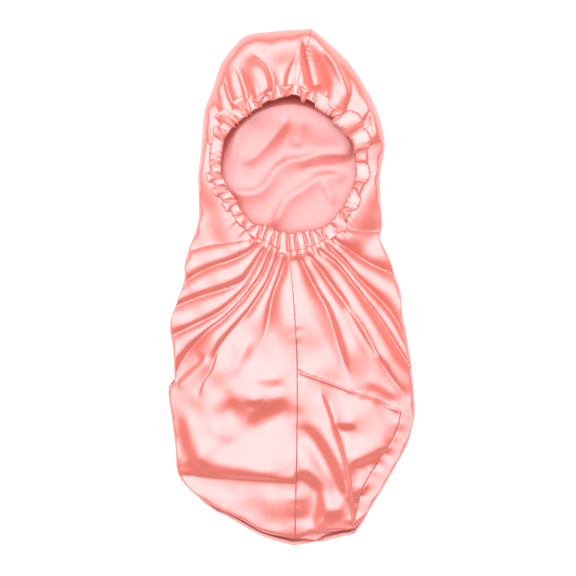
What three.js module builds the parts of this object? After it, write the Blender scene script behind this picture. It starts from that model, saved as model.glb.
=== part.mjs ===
// A long satin sleep bonnet lying on its back, its gathered opening facing up, in millimetres.
// +X is to the right as the opening is seen from above, +Y runs from the hem to the crown, and +Z up
// from the surface. The origin is under the middle of the bonnet, on the surface it lies on.
//
// Every panel is a thin wall. The upper panels are gathered to a ring of elastic casing and follow one
// height function; the back panel lies flat below them, and the space between is open.
import * as THREE from "three";

// Driving dimensions
const WALL = 1.6; // cloth wall, doubled satin
const SEAM_GAP = 0.9; // clear gap between two panels at a seam
const EDGE_HEIGHT = 5; // height of the side fold, where upper panels and back panel meet
const EDGE_GAP = 0.5; // half of the clear gap there
const RING = { x: -2, y: 140 }; // centre of the opening
const CASING_THICKNESS = 4.2; // elastic in its gathered channel
const CASING_RUFFLES = 36;
const STEPS_PER_RUFFLE = 4;
const RUFFLE_DEPTH = 1.7;
const SCALLOP = 1.1; // how far the casing's edges wave in and out
const CASING_CLEARANCE = 1.5; // between the casing's edge and the panels gathered to it
const GATHERS = 28; // larger gathers that run from the casing into the panels
const GATHER_HEIGHT = 2.2;
const GATHER_REACH = 20;
const COLLAR_REACH = 38; // how far from the casing the panels take on the full loft

// The outline of the bonnet as it lies, from the crown seam round the left side, hem and right side.
// ring is the angle at the opening to which the cloth of that point is gathered, in degrees, and
// setback is how far the upper panels end inside the back panel's lip. A rib runs between the two.
const LEFT_EDGE = [
  { x: 25, y: 313, ring: 86, setback: 0 },
  { x: 5, y: 312.5, ring: 90, setback: 0 },
  { x: -24, y: 310, ring: 98, setback: 0 },
  { x: -53, y: 306, ring: 106, setback: 0 },
  { x: -67, y: 295, ring: 115, setback: 0 },
  { x: -85, y: 271, ring: 127, setback: 0 },
  { x: -95, y: 242, ring: 137, setback: 0 },
  { x: -105, y: 214, ring: 148, setback: 0 },
  { x: -108, y: 185, ring: 158, setback: 0 },
  { x: -110, y: 160, ring: 168, setback: 0 },
  { x: -113, y: 134, ring: 179, setback: 0 },
  { x: -112, y: 104, ring: 191, setback: 0 },
  { x: -113, y: 79, ring: 201, setback: 0 },
  { x: -122, y: 53, ring: 211, setback: 0 },
  { x: -129, y: 31, ring: 217, setback: 0 },
  { x: -130, y: 10, ring: 222, setback: 0 },
  { x: -139, y: -18, ring: 228, setback: 0 },
  { x: -147, y: -45, ring: 234, setback: 0 },
  { x: -143, y: -77, ring: 239, setback: 0 },
  { x: -142, y: -112, ring: 244, setback: 0 },
  { x: -149, y: -124, ring: 246, setback: 0 },
  { x: -144, y: -163, ring: 251, setback: 0 },
  { x: -140, y: -194, ring: 254, setback: 0 },
  { x: -136, y: -227, ring: 257, setback: 0 },
  { x: -108, y: -257, ring: 260, setback: 1 },
  { x: -67, y: -282, ring: 263, setback: 5 },
  { x: -34, y: -300, ring: 266, setback: 5 },
  { x: 2, y: -311, ring: 270, setback: 9 },
];
const RIGHT_HEM = [
  { x: 17, y: -310, setback: 12 },
  { x: 31, y: -311, setback: 14 },
  { x: 43, y: -305, setback: 11 },
  { x: 61, y: -300, setback: 8 },
  { x: 78, y: -293, setback: 3 },
];
const RIGHT_SKIRT = [
  { x: 103, y: -254 },
  { x: 128, y: -211 },
  { x: 140, y: -189 },
  { x: 148, y: -158 },
];
const RIGHT_EDGE = [
  { x: 149, y: -142, ring: 301 },
  { x: 147, y: -116, ring: 304 },
  { x: 144, y: -86, ring: 308 },
  { x: 139, y: -56, ring: 312 },
  { x: 134, y: -30, ring: 316 },
  { x: 132, y: -5, ring: 320 },
  { x: 125, y: 16, ring: 324 },
  { x: 118, y: 37, ring: 328 },
  { x: 107, y: 60, ring: 333 },
  { x: 110, y: 76, ring: 340 },
  { x: 108, y: 104, ring: 348 },
  { x: 107, y: 136, ring: 359 },
  { x: 111, y: 158, ring: 368 },
  { x: 113, y: 172, ring: 374 },
  { x: 111, y: 188, ring: 381 },
  { x: 107, y: 204, ring: 388 },
  { x: 100, y: 223, ring: 396 },
  { x: 91, y: 240, ring: 404 },
  { x: 70, y: 272, ring: 419 },
  { x: 41, y: 300, ring: 436 },
  { x: 25, y: 313, ring: 446 },
];

// The seams that cross the upper side
const CENTRE_SEAM_TOP = { x: -1, y: 31 };
const CENTRE_SEAM_CROSSING = { x: 7, y: -98 };
const CENTRE_SEAM_HEM = { x: 5, y: -303 };
const CROSS_SEAM = [
  { x: 7, y: -98, ring: 270 },
  { x: 32, y: -107, ring: 275 },
  { x: 62, y: -119, ring: 282 },
  { x: 96, y: -135, ring: 289 },
  { x: 132, y: -148, ring: 297 },
  { x: 149, y: -142, ring: 301 },
];
const SIDE_SEAM = [
  { x: 132, y: -148 },
  { x: 128, y: -168 },
  { x: 119, y: -188 },
  { x: 105, y: -209 },
  { x: 91, y: -232 },
  { x: 82, y: -254 },
  { x: 75, y: -290 },
];

// The lower right panel's hem, from the centre seam to the side seam
const LOWER_HEM = [
  CENTRE_SEAM_HEM,
  { x: 20, y: -298 },
  { x: 36, y: -296 },
  { x: 56, y: -294 },
  { x: 75, y: -290 },
];
// The side panel's corners on the outline, above and below the points of RIGHT_SKIRT
const SIDE_PANEL_TOP = { x: 149, y: -144 };
const SIDE_PANEL_FOOT = { x: 79, y: -292 };
const SIDE_PANEL_DROP = 2.7; // how far its top edge is below the cross seam's end

// Height of the upper panels along the bonnet, away from folds, and how wide its rolled edge is
const LOFT = [
  { y: -314, height: 9, roll: 10 },
  { y: -290, height: 15, roll: 16 },
  { y: -250, height: 22, roll: 26 },
  { y: -200, height: 28, roll: 38 },
  { y: -130, height: 33, roll: 44 },
  { y: -60, height: 35, roll: 44 },
  { y: 0, height: 33, roll: 36 },
  { y: 40, height: 30, roll: 24 },
  { y: 90, height: 31, roll: 15 },
  { y: 150, height: 36, roll: 15 },
  { y: 215, height: 42, roll: 22 },
  { y: 255, height: 44, roll: 32 },
  { y: 290, height: 37, roll: 34 },
  { y: 314, height: 26, roll: 30 },
];

// The casing at each angle of the opening: its middle, its width, and its tilt, outer edge up
const CASING = [
  { ring: 0, radius: 86, height: 33, width: 17, tilt: 12 },
  { ring: 30, radius: 91, height: 36, width: 19, tilt: 14 },
  { ring: 60, radius: 88, height: 38, width: 17, tilt: 14 },
  { ring: 90, radius: 94, height: 40, width: 17, tilt: 14 },
  { ring: 120, radius: 90, height: 38, width: 16, tilt: 14 },
  { ring: 150, radius: 93, height: 36, width: 16, tilt: 14 },
  { ring: 180, radius: 89, height: 33, width: 15, tilt: 12 },
  { ring: 210, radius: 82, height: 30, width: 15, tilt: 10 },
  { ring: 240, radius: 83, height: 27, width: 18, tilt: 8 },
  { ring: 270, radius: 88, height: 26, width: 27, tilt: 4 },
  { ring: 300, radius: 87, height: 27, width: 20, tilt: 8 },
  { ring: 330, radius: 85, height: 30, width: 16, tilt: 10 },
  { ring: 360, radius: 86, height: 33, width: 17, tilt: 12 },
];

// Main folds of the upper panels: a crest, or with a minus height a trough, through three places
const FOLDS = [
  { name: "left_shoulder_crest", x1: -44, y1: 52, x2: -96, y2: 31, x3: -137, y3: -5, start: 7, end: 15, height: 6 },
  { name: "left_shoulder_trough", x1: -44, y1: 61, x2: -80, y2: 54, x3: -122, y3: 41, start: 6, end: 9, height: -5 },
  { name: "left_inner_trough", x1: -42, y1: 49, x2: -62, y2: 41, x3: -85, y3: 31, start: 5, end: 8, height: -4 },
  { name: "left_flank_trough", x1: -59, y1: 8, x2: -98, y2: -12, x3: -138, y3: -19, start: 7, end: 12, height: -5 },
  { name: "left_flank_crest", x1: -79, y1: -13, x2: -110, y2: -31, x3: -145, y3: -44, start: 6, end: 8, height: 4 },
  { name: "left_long_crest", x1: -31, y1: 46, x2: -65, y2: -5, x3: -134, y3: -66, start: 6, end: 9, height: 7 },
  { name: "left_long_trough", x1: -36, y1: 29, x2: -72, y2: -23, x3: -133, y3: -84, start: 6, end: 13, height: -7 },
  { name: "left_apron_crest", x1: -19, y1: 37, x2: -53, y2: -30, x3: -122, y3: -103, start: 6, end: 12, height: 6 },
  { name: "left_middle_trough", x1: -20, y1: 24, x2: -37, y2: -16, x3: -60, y3: -68, start: 5, end: 9, height: -6 },
  { name: "left_middle_crest", x1: -10, y1: 20, x2: -29, y2: -17, x3: -54, y3: -84, start: 6, end: 9, height: 5 },
  { name: "right_notch_crest", x1: 65, y1: 62, x2: 88, y2: 60, x3: 108, y3: 60, start: 6, end: 6, height: 4 },
  { name: "right_shoulder_crest", x1: 50, y1: 50, x2: 96, y2: 22, x3: 133, y3: -2, start: 6, end: 7, height: 6 },
  { name: "right_shoulder_trough", x1: 58, y1: 40, x2: 96, y2: 6, x3: 127, y3: -50, start: 6, end: 11, height: -6 },
  { name: "right_outer_crest", x1: 48, y1: 44, x2: 89, y2: -8, x3: 142, y3: -94, start: 5, end: 8, height: 5 },
  { name: "right_long_crest", x1: 36, y1: 41, x2: 86, y2: -31, x3: 142, y3: -118, start: 6, end: 9, height: 7 },
  { name: "right_long_trough", x1: 30, y1: 40, x2: 75, y2: -26, x3: 128, y3: -113, start: 5, end: 8, height: -6 },
  { name: "right_inner_crest", x1: 19, y1: 31, x2: 58, y2: -29, x3: 94, y3: -119, start: 7, end: 10, height: 6 },
  { name: "right_inner_trough", x1: 34, y1: 0, x2: 48, y2: -44, x3: 72, y3: -112, start: 6, end: 10, height: -6 },
  { name: "crown_right_hollow", x1: 23, y1: 290, x2: 36, y2: 260, x3: 48, y3: 236, start: 10, end: 14, height: -7 },
  { name: "crown_right_crest", x1: 41, y1: 290, x2: 60, y2: 262, x3: 66, y3: 244, start: 8, end: 7, height: 4 },
  { name: "crown_left_hollow", x1: -46, y1: 272, x2: -50, y2: 252, x3: -55, y3: 236, start: 9, end: 9, height: -6 },
  { name: "crown_left_crest", x1: -76, y1: 270, x2: -79, y2: 246, x3: -73, y3: 226, start: 6, end: 6, height: 4 },
  { name: "crown_middle_crest", x1: -34, y1: 278, x2: -31, y2: 256, x3: -35, y3: 236, start: 8, end: 7, height: 4 },
  { name: "crown_seam_groove", x1: 24, y1: 310, x2: 7, y2: 280, x3: 4, y3: 240, start: 6, end: 7, height: -3 },
  { name: "lower_left_dimple", x1: -66, y1: -122, x2: -41, y2: -142, x3: -4, y3: -134, start: 10, end: 10, height: -5 },
  { name: "lower_left_crease", x1: -134, y1: -227, x2: -65, y2: -230, x3: 3, y3: -233, start: 5, end: 6, height: -3 },
  { name: "lower_right_ridge", x1: 37, y1: -122, x2: 59, y2: -188, x3: 76, y3: -286, start: 8, end: 9, height: 7 },
  { name: "lower_right_trough", x1: 64, y1: -150, x2: 76, y2: -205, x3: 80, y3: -262, start: 8, end: 9, height: -5 },
  { name: "lower_middle_trough", x1: 22, y1: -130, x2: 40, y2: -164, x3: 44, y3: -214, start: 8, end: 14, height: -4 },
];

// Soft folds of the back panel, seen through the opening
const BACK_FOLDS = [
  { name: "upper_swell", x1: 62, y1: 160, x2: 5, y2: 156, x3: -56, y3: 118, start: 13, end: 13, height: 4 },
  { name: "lower_swell", x1: 62, y1: 136, x2: 22, y2: 130, x3: -23, y3: 84, start: 12, end: 12, height: 3.5 },
  { name: "crown_swell", x1: 14, y1: 208, x2: 8, y2: 186, x3: -14, y3: 160, start: 9, end: 12, height: 3.5 },
  { name: "left_swell", x1: -68, y1: 190, x2: -71, y2: 154, x3: -58, y3: 108, start: 9, end: 10, height: 4 },
];
const FOLD_SAMPLES = 14;
const FOLD_FADE = 0.16; // share of a fold's length over which it rises and dies away

// Mesh density: columns round the opening and rows from it to the outline
const GRID = {
  left: { columns: 62, rows: 12 },
  right: { columns: 52, rows: 12 },
  lower: { columns: 10, rows: 11 },
  side: { columns: 3, rows: 11 },
  back: { columns: 14, rows: 28 },
};

const smooth = (t) => {
  const c = Math.min(1, Math.max(0, t));
  return c * c * (3 - 2 * c);
};
const mix = (a, b, t) => a + (b - a) * t;
const mixPoints = (a, b, t) => ({ x: mix(a.x, b.x, t), y: mix(a.y, b.y, t) });
const radians = (degrees) => (degrees * Math.PI) / 180;

// One row of a table between its rows, by the value of one column
function rowAt(table, column, value) {
  const last = table.length - 2;
  let i = table.findIndex((row, k) => k <= last && value <= table[k + 1][column]);
  if (i < 0) i = last;
  const [from, to] = [table[i], table[i + 1]];
  const t = Math.min(1, Math.max(0, (value - from[column]) / (to[column] - from[column])));
  const row = {};
  for (const key of Object.keys(from)) row[key] = mix(from[key], to[key], key === column ? t : smooth(t));
  return row;
}

// A smooth curve through the rows of a table, every column alike: returns row(share), share 0 to 1
function curveThrough(table) {
  const keys = Object.keys(table[0]);
  return (share) => {
    const at = Math.min(1, Math.max(0, share)) * (table.length - 1);
    const i = Math.min(table.length - 2, Math.floor(at));
    const t = at - i;
    const rows = [i - 1, i, i + 1, i + 2].map((k) => table[Math.min(table.length - 1, Math.max(0, k))]);
    const row = {};
    for (const key of keys) {
      const [a, b, c, d] = rows.map((r) => r[key]);
      const bend = (2 * a - 5 * b + 4 * c - d) * t * t + (3 * b - 3 * c + d - a) * t * t * t;
      row[key] = 0.5 * (2 * b + (c - a) * t + bend);
    }
    return row;
  };
}

const samples = (curve, count) => Array.from({ length: count + 1 }, (_, i) => curve(i / count));

// Moves each point of a closed outline inwards by its setback
function inset(points) {
  const n = points.length;
  return points.map((p, i) => {
    const before = points[(i + n - 1) % n];
    const after = points[(i + 1) % n];
    const along = Math.hypot(after.x - before.x, after.y - before.y) || 1;
    const back = p.setback ?? 0;
    return { ...p, x: p.x - ((after.y - before.y) / along) * back, y: p.y + ((after.x - before.x) / along) * back };
  });
}

const SAMPLES_PER_ROW = 3;
const sampled = (table) => samples(curveThrough(table), (table.length - 1) * SAMPLES_PER_ROW);
const outlinePoint = ({ x, y, setback }) => ({ x, y, setback: setback ?? 0 });
const rightOutline = [LEFT_EDGE.at(-1), ...RIGHT_HEM, ...RIGHT_SKIRT, ...RIGHT_EDGE].map(outlinePoint);
const leftOutline = LEFT_EDGE.map(outlinePoint);
const outline = [...sampled(leftOutline).slice(0, -1), ...sampled(rightOutline).slice(0, -1)];
const upperOutline = inset(outline);

// How far a point is from a straight stretch, and at which share of the stretch it is nearest
function fromSegment(a, b, x, y) {
  const [dx, dy] = [b.x - a.x, b.y - a.y];
  const share = Math.min(1, Math.max(0, ((x - a.x) * dx + (y - a.y) * dy) / (dx * dx + dy * dy)));
  return { share, away: Math.hypot(x - mix(a.x, b.x, share), y - mix(a.y, b.y, share)) };
}

// The depth of a point inside an outline, 0 outside it, and the way in from the outline's nearest side
function nearestSide(points, x, y) {
  let nearest = Infinity;
  let inside = false;
  const inward = new THREE.Vector3();
  for (let i = 0, j = points.length - 1; i < points.length; j = i++) {
    const a = points[i];
    const b = points[j];
    if (a.y > y !== b.y > y && x < ((b.x - a.x) * (y - a.y)) / (b.y - a.y) + a.x) inside = !inside;
    const { away } = fromSegment(a, b, x, y);
    if (away < nearest) {
      nearest = away;
      inward.set(b.y - a.y, a.x - b.x, 0).normalize();
    }
  }
  return { depth: inside ? nearest : 0, inward };
}
const depthInside = (points, x, y) => nearestSide(points, x, y).depth;

// The height that one fold adds at a point
function foldHeight(fold, x, y) {
  let nearest = Infinity;
  let share = 0;
  let a = { x: fold.x1, y: fold.y1 };
  for (let k = 1; k <= FOLD_SAMPLES; k++) {
    const t = k / FOLD_SAMPLES;
    const [w1, w2, w3] = [(1 - t) * (1 - 2 * t), 4 * t * (1 - t), t * (2 * t - 1)];
    const b = {
      x: w1 * fold.x1 + w2 * fold.x2 + w3 * fold.x3,
      y: w1 * fold.y1 + w2 * fold.y2 + w3 * fold.y3,
    };
    const nearby = fromSegment(a, b, x, y);
    if (nearby.away < nearest) {
      nearest = nearby.away;
      share = (k - 1 + nearby.share) / FOLD_SAMPLES;
    }
    a = b;
  }
  const width = mix(fold.start, fold.end, share);
  const fade = smooth(share / FOLD_FADE) * smooth((1 - share) / FOLD_FADE);
  return fold.height * fade * Math.exp(-((nearest / width) ** 2));
}

const foldsAt = (folds, x, y) => folds.reduce((sum, fold) => sum + foldHeight(fold, x, y), 0);
const ringAngle = (x, y) => ((Math.atan2(y - RING.y, x - RING.x) * 180) / Math.PI + 360) % 360;
const casingAt = (angle) => rowAt(CASING, "ring", ((angle % 360) + 360) % 360);

// Where the upper panels start at the casing
function collarAt(angle) {
  const c = casingAt(angle);
  const half = c.width / 2 + SCALLOP + CASING_CLEARANCE;
  const tilt = radians(c.tilt);
  return { radius: c.radius + half * Math.cos(tilt), height: c.height + half * Math.sin(tilt) };
}

// The rolled edge's share of the full height at a depth inside the outline
const rolled = (depth, roll) => Math.sqrt(1 - (1 - Math.min(1, depth / roll)) ** 2);

// Outer surface of the upper panels
function upperHeight(x, y) {
  const loft = rowAt(LOFT, "y", y);
  const angle = ringAngle(x, y);
  const collar = collarAt(angle);
  const out = Math.max(0, Math.hypot(x - RING.x, y - RING.y) - collar.radius);
  const gather = GATHER_HEIGHT * Math.sin(radians(angle) * GATHERS) * Math.exp(-out / GATHER_REACH);
  const body = mix(collar.height, loft.height, smooth(out / COLLAR_REACH));
  const depth = depthInside(upperOutline, x, y);
  const bottom = EDGE_HEIGHT + EDGE_GAP;
  return bottom + (body - bottom + gather + foldsAt(FOLDS, x, y)) * rolled(depth, loft.roll);
}

// Outer, lower surface of the back panel, and its height over it
function backHeight(x, y) {
  const depth = depthInside(outline, x, y);
  const top = EDGE_HEIGHT - EDGE_GAP;
  return top * (1 - rolled(depth, top)) + foldsAt(BACK_FOLDS, x, y);
}

const NORMAL_STEP = 0.4;
function normalOf(height, x, y) {
  const slopeX = (height(x + NORMAL_STEP, y) - height(x - NORMAL_STEP, y)) / (2 * NORMAL_STEP);
  const slopeY = (height(x, y + NORMAL_STEP) - height(x, y - NORMAL_STEP)) / (2 * NORMAL_STEP);
  return new THREE.Vector3(-slopeX, -slopeY, 1).normalize();
}

// A wall from a grid of places: one face on the height function, the other a wall's thickness along
// its normal, below it for an upper panel and above it for the back panel. On the side fold both
// faces end at one level.
const ON_FOLD = 0.05;
function wall(places, height, below) {
  const border = below ? upperOutline : outline;
  const rows = places.length;
  const columns = places[0].length;
  const points = [];
  for (const side of [0, 1]) {
    for (const row of places) {
      for (const { x, y } of row) {
        const point = new THREE.Vector3(x, y, height(x, y));
        const { depth, inward } = nearestSide(border, x, y);
        if (side === 1 && depth < ON_FOLD) point.addScaledVector(inward, WALL);
        else if (side === 1) point.addScaledVector(normalOf(height, x, y), below ? -WALL : WALL);
        points.push(point);
      }
    }
  }
  const at = (side, i, j) => side * rows * columns + i * columns + j;
  const faces = [];
  const quad = (a, b, c, d) => faces.push([a, b, c], [a, c, d]);
  for (let i = 0; i < rows - 1; i++) {
    for (let j = 0; j < columns - 1; j++) {
      quad(at(0, i, j), at(0, i, j + 1), at(0, i + 1, j + 1), at(0, i + 1, j));
      quad(at(1, i, j), at(1, i + 1, j), at(1, i + 1, j + 1), at(1, i, j + 1));
    }
  }
  for (let j = 0; j < columns - 1; j++) {
    quad(at(0, 0, j), at(1, 0, j), at(1, 0, j + 1), at(0, 0, j + 1));
    quad(at(0, rows - 1, j), at(0, rows - 1, j + 1), at(1, rows - 1, j + 1), at(1, rows - 1, j));
  }
  for (let i = 0; i < rows - 1; i++) {
    quad(at(0, i, 0), at(0, i + 1, 0), at(1, i + 1, 0), at(1, i, 0));
    quad(at(0, i, columns - 1), at(1, i, columns - 1), at(1, i + 1, columns - 1), at(0, i + 1, columns - 1));
  }
  return closedGeometry(points, faces);
}

// A closed mesh with its faces pointing out, whichever way round they were listed
function closedGeometry(points, faces) {
  let volume = 0;
  for (const [a, b, c] of faces) volume += points[a].dot(new THREE.Vector3().crossVectors(points[b], points[c]));
  const geometry = new THREE.BufferGeometry();
  geometry.setAttribute("position", new THREE.Float32BufferAttribute(points.flatMap((p) => [p.x, p.y, p.z]), 3));
  geometry.setIndex(faces.flatMap(([a, b, c]) => (volume > 0 ? [a, b, c] : [a, c, b])));
  geometry.computeVertexNormals();
  return geometry;
}

// Rows of places along ribs, from the casing to the outline, closer together near the rolled edge
const EDGE_CROWDING = 1.9;
function ribGrid(ribs, rows) {
  return ribs.map(({ from, to }) =>
    Array.from({ length: rows + 1 }, (_, k) => mixPoints(from, to, 1 - (1 - k / rows) ** EDGE_CROWDING)),
  );
}

const casingEnd = (angle) => {
  const { radius } = collarAt(angle);
  return { x: RING.x + radius * Math.cos(radians(angle)), y: RING.y + radius * Math.sin(radians(angle)) };
};

// The left panel: ribs from the crown seam round the left of the opening to the front centre seam
function leftPanel() {
  const edge = curveThrough(LEFT_EDGE);
  const ribs = samples(edge, GRID.left.columns).map((row, i, all) => {
    const previous = all[Math.max(0, i - 1)];
    const next = all[Math.min(all.length - 1, i + 1)];
    const along = Math.hypot(next.x - previous.x, next.y - previous.y);
    const to = {
      x: row.x - ((next.y - previous.y) / along) * row.setback,
      y: row.y + ((next.x - previous.x) / along) * row.setback,
    };
    return { from: casingEnd(row.ring), to };
  });
  const last = ribs.at(-1);
  last.to = CENTRE_SEAM_HEM;
  const bent = ribGrid(ribs, GRID.left.rows);
  for (const p of bent[0]) p.x -= SEAM_GAP;
  bendAlongSeam(bent);
  return wall(bent, upperHeight, true);
}

// Draws the ribs nearest the front centre seam towards its real line, which has a slight bend
const PULLED_RIBS = 9;
function bendAlongSeam(grid) {
  for (let k = 0; k < PULLED_RIBS; k++) {
    const row = grid[grid.length - 1 - k];
    const share = smooth(1 - k / PULLED_RIBS);
    for (const p of row) p.x += share * (seamX(p.y) - straightSeamX(p.y)) - (k === 0 ? SEAM_GAP / 2 : 0);
  }
}

// The front centre seam bends where the cross seam meets it
function seamX(y) {
  const { y: top } = CENTRE_SEAM_TOP;
  const { y: crossing } = CENTRE_SEAM_CROSSING;
  if (y > crossing) return mix(CENTRE_SEAM_TOP.x, CENTRE_SEAM_CROSSING.x, smooth((top - y) / (top - crossing)));
  return mix(CENTRE_SEAM_CROSSING.x, CENTRE_SEAM_HEM.x, (crossing - y) / (crossing - CENTRE_SEAM_HEM.y));
}
const straightSeamX = (y) => {
  const start = casingEnd(270);
  return mix(start.x, CENTRE_SEAM_HEM.x, (start.y - y) / (start.y - CENTRE_SEAM_HEM.y));
};

// The right panel: from the front centre seam, over the cross seam and up the right side to the crown
function rightPanel() {
  const rows = [...CROSS_SEAM.slice(0, -1), ...RIGHT_EDGE];
  const ends = samples(curveThrough(rows), GRID.right.columns);
  const ribs = ends.map((row) => ({ from: casingEnd(row.ring), to: row }));
  ribs[0].from = { x: seamX(ribs[0].from.y), y: ribs[0].from.y };
  const grid = ribGrid(ribs, GRID.right.rows);
  for (const p of grid[0]) p.x = seamX(p.y) + SEAM_GAP / 2;
  for (const p of grid.at(-1)) p.x += SEAM_GAP;
  return wall(grid, upperHeight, true);
}

// A four-sided panel between two side curves, given as row(share) from top to bottom
function patch(left, right, { columns, rows }) {
  return Array.from({ length: rows + 1 }, (_, i) =>
    Array.from({ length: columns + 1 }, (_, j) => mixPoints(left(i / rows), right(i / rows), j / columns)),
  );
}

// The lower right panel, below the cross seam, from the centre seam to the side seam
function lowerPanel() {
  const across = curveThrough(CROSS_SEAM.slice(0, -1));
  const side = curveThrough(SIDE_SEAM);
  const hem = curveThrough(LOWER_HEM);
  const { columns, rows } = GRID.lower;
  const grid = Array.from({ length: rows + 1 }, (_, i) =>
    Array.from({ length: columns + 1 }, (_, j) => {
      const [u, v] = [j / columns, i / rows];
      const leftY = mix(CENTRE_SEAM_CROSSING.y, CENTRE_SEAM_HEM.y, v);
      const left = { x: seamX(leftY), y: leftY };
      const downwards = mixPoints(across(u), hem(u), v);
      const sideways = mixPoints(left, side(v), u);
      const corners = mixPoints(mixPoints(across(0), across(1), u), mixPoints(hem(0), hem(1), u), v);
      const clear = { x: mix(SEAM_GAP, -SEAM_GAP, u) / 2, y: -(1 - v) * SEAM_GAP };
      return {
        x: downwards.x + sideways.x - corners.x + clear.x,
        y: downwards.y + sideways.y - corners.y + clear.y,
      };
    }),
  );
  return wall(grid, upperHeight, true);
}

// The narrow right side panel, between the side seam and the outline
function sidePanel() {
  const seam = curveThrough(SIDE_SEAM);
  const edge = curveThrough([SIDE_PANEL_TOP, ...[...RIGHT_SKIRT].reverse(), SIDE_PANEL_FOOT]);
  const grid = patch((v) => ({ x: seam(v).x + SEAM_GAP / 2, y: seam(v).y }), edge, GRID.side);
  for (const p of grid[0]) p.y -= SIDE_PANEL_DROP;
  return wall(grid, upperHeight, true);
}

// The back panel, one piece under all the others: crosswise rows from the left edge to the right edge
const TOP_ROWS = 3; // rows of the left outline that lie along the panel's top edge
const HEM_ROWS = 3; // rows of the right outline that lie along its hem
function backPanel() {
  const left = curveThrough(leftOutline.slice(TOP_ROWS));
  const right = curveThrough([...rightOutline].reverse().slice(0, -HEM_ROWS));
  const { columns, rows } = GRID.back;
  const crowded = (t) => 0.5 - 0.5 * Math.sign(1 - 2 * t) * Math.abs(1 - 2 * t) ** (1 / EDGE_CROWDING);
  const grid = Array.from({ length: rows + 1 }, (_, i) =>
    Array.from({ length: columns + 1 }, (_, j) => mixPoints(left(i / rows), right(i / rows), crowded(j / columns))),
  );
  return wall(grid, backHeight, false);
}

// The elastic casing: a flat band round the opening that waves up and down in ruffles
function casing() {
  const steps = CASING_RUFFLES * STEPS_PER_RUFFLE;
  const section = [
    { across: -0.5, up: 0 },
    { across: -0.3, up: 0.5 },
    { across: 0.3, up: 0.5 },
    { across: 0.5, up: 0 },
    { across: 0.3, up: -0.5 },
    { across: -0.3, up: -0.5 },
  ];
  const points = [];
  for (let i = 0; i < steps; i++) {
    const angle = (360 * i) / steps;
    const row = casingAt(angle);
    const turn = radians(angle);
    const tilt = radians(row.tilt);
    const wave = RUFFLE_DEPTH * Math.sin(turn * CASING_RUFFLES);
    const width = row.width + 2 * SCALLOP * Math.cos(turn * CASING_RUFFLES);
    for (const { across, up } of section) {
      const lift = up * CASING_THICKNESS + wave;
      const out = row.radius + across * width * Math.cos(tilt) - lift * Math.sin(tilt);
      const z = row.height + across * width * Math.sin(tilt) + lift * Math.cos(tilt);
      points.push(new THREE.Vector3(RING.x + out * Math.cos(turn), RING.y + out * Math.sin(turn), z));
    }
  }
  const sides = section.length;
  const at = (i, k) => (i % steps) * sides + (k % sides);
  const faces = [];
  for (let i = 0; i < steps; i++) {
    for (let k = 0; k < sides; k++) {
      faces.push([at(i, k), at(i + 1, k), at(i + 1, k + 1)], [at(i, k), at(i + 1, k + 1), at(i, k + 1)]);
    }
  }
  return closedGeometry(points, faces);
}

// Satin, its duller inside, and the tightly gathered casing
const cloth = (color, roughness) => new THREE.MeshStandardMaterial({ color, roughness, metalness: 0 });
const satin = cloth(0xfcb6b6, 0.3);
const innerSatin = cloth(0xfcaba8, 0.42);
const gatheredSatin = cloth(0xfcc2c4, 0.34);

const bonnet = new THREE.Group();
function add(name, geometry, material) {
  const mesh = new THREE.Mesh(geometry, material);
  mesh.name = name;
  bonnet.add(mesh);
}
add("left_panel", leftPanel(), satin);
add("right_panel", rightPanel(), satin);
add("lower_right_panel", lowerPanel(), satin);
add("side_panel", sidePanel(), satin);
add("back_panel", backPanel(), innerSatin);
add("elastic_casing", casing(), gatheredSatin);

export default bonnet;
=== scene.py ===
"""A long satin sleep bonnet lying on its back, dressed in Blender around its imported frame.

The cloth panels follow one height function: a loft over the hollow bonnet, a rolled side fold, the folds
that fan out from the gathered opening, the gathers themselves and the seams. Lengths are in millimetres
here and become metres where a mesh is made.
"""

from __future__ import annotations

import logging
import math
from collections.abc import Iterator
from dataclasses import dataclass
from enum import Enum

import bpy
import numpy as np
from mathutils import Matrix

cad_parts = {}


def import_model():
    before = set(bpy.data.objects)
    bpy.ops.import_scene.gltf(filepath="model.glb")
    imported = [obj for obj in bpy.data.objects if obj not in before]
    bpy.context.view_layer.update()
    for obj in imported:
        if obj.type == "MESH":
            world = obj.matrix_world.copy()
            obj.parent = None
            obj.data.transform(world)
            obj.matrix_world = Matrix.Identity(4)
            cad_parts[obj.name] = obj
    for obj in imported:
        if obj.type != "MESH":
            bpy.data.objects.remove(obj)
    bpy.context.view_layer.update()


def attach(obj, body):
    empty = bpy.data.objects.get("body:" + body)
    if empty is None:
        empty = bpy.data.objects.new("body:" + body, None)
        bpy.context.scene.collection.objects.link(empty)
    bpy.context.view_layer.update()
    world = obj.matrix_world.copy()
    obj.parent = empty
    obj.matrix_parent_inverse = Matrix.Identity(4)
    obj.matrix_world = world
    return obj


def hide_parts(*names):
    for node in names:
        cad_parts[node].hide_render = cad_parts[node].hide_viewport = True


Array = np.ndarray
Table = list[dict[str, float]]
Path = tuple[tuple[float, float], ...]

LOG = logging.getLogger("bonnet")
MM = 0.001
ROOT = "root"
TINY = 1e-6

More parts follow.
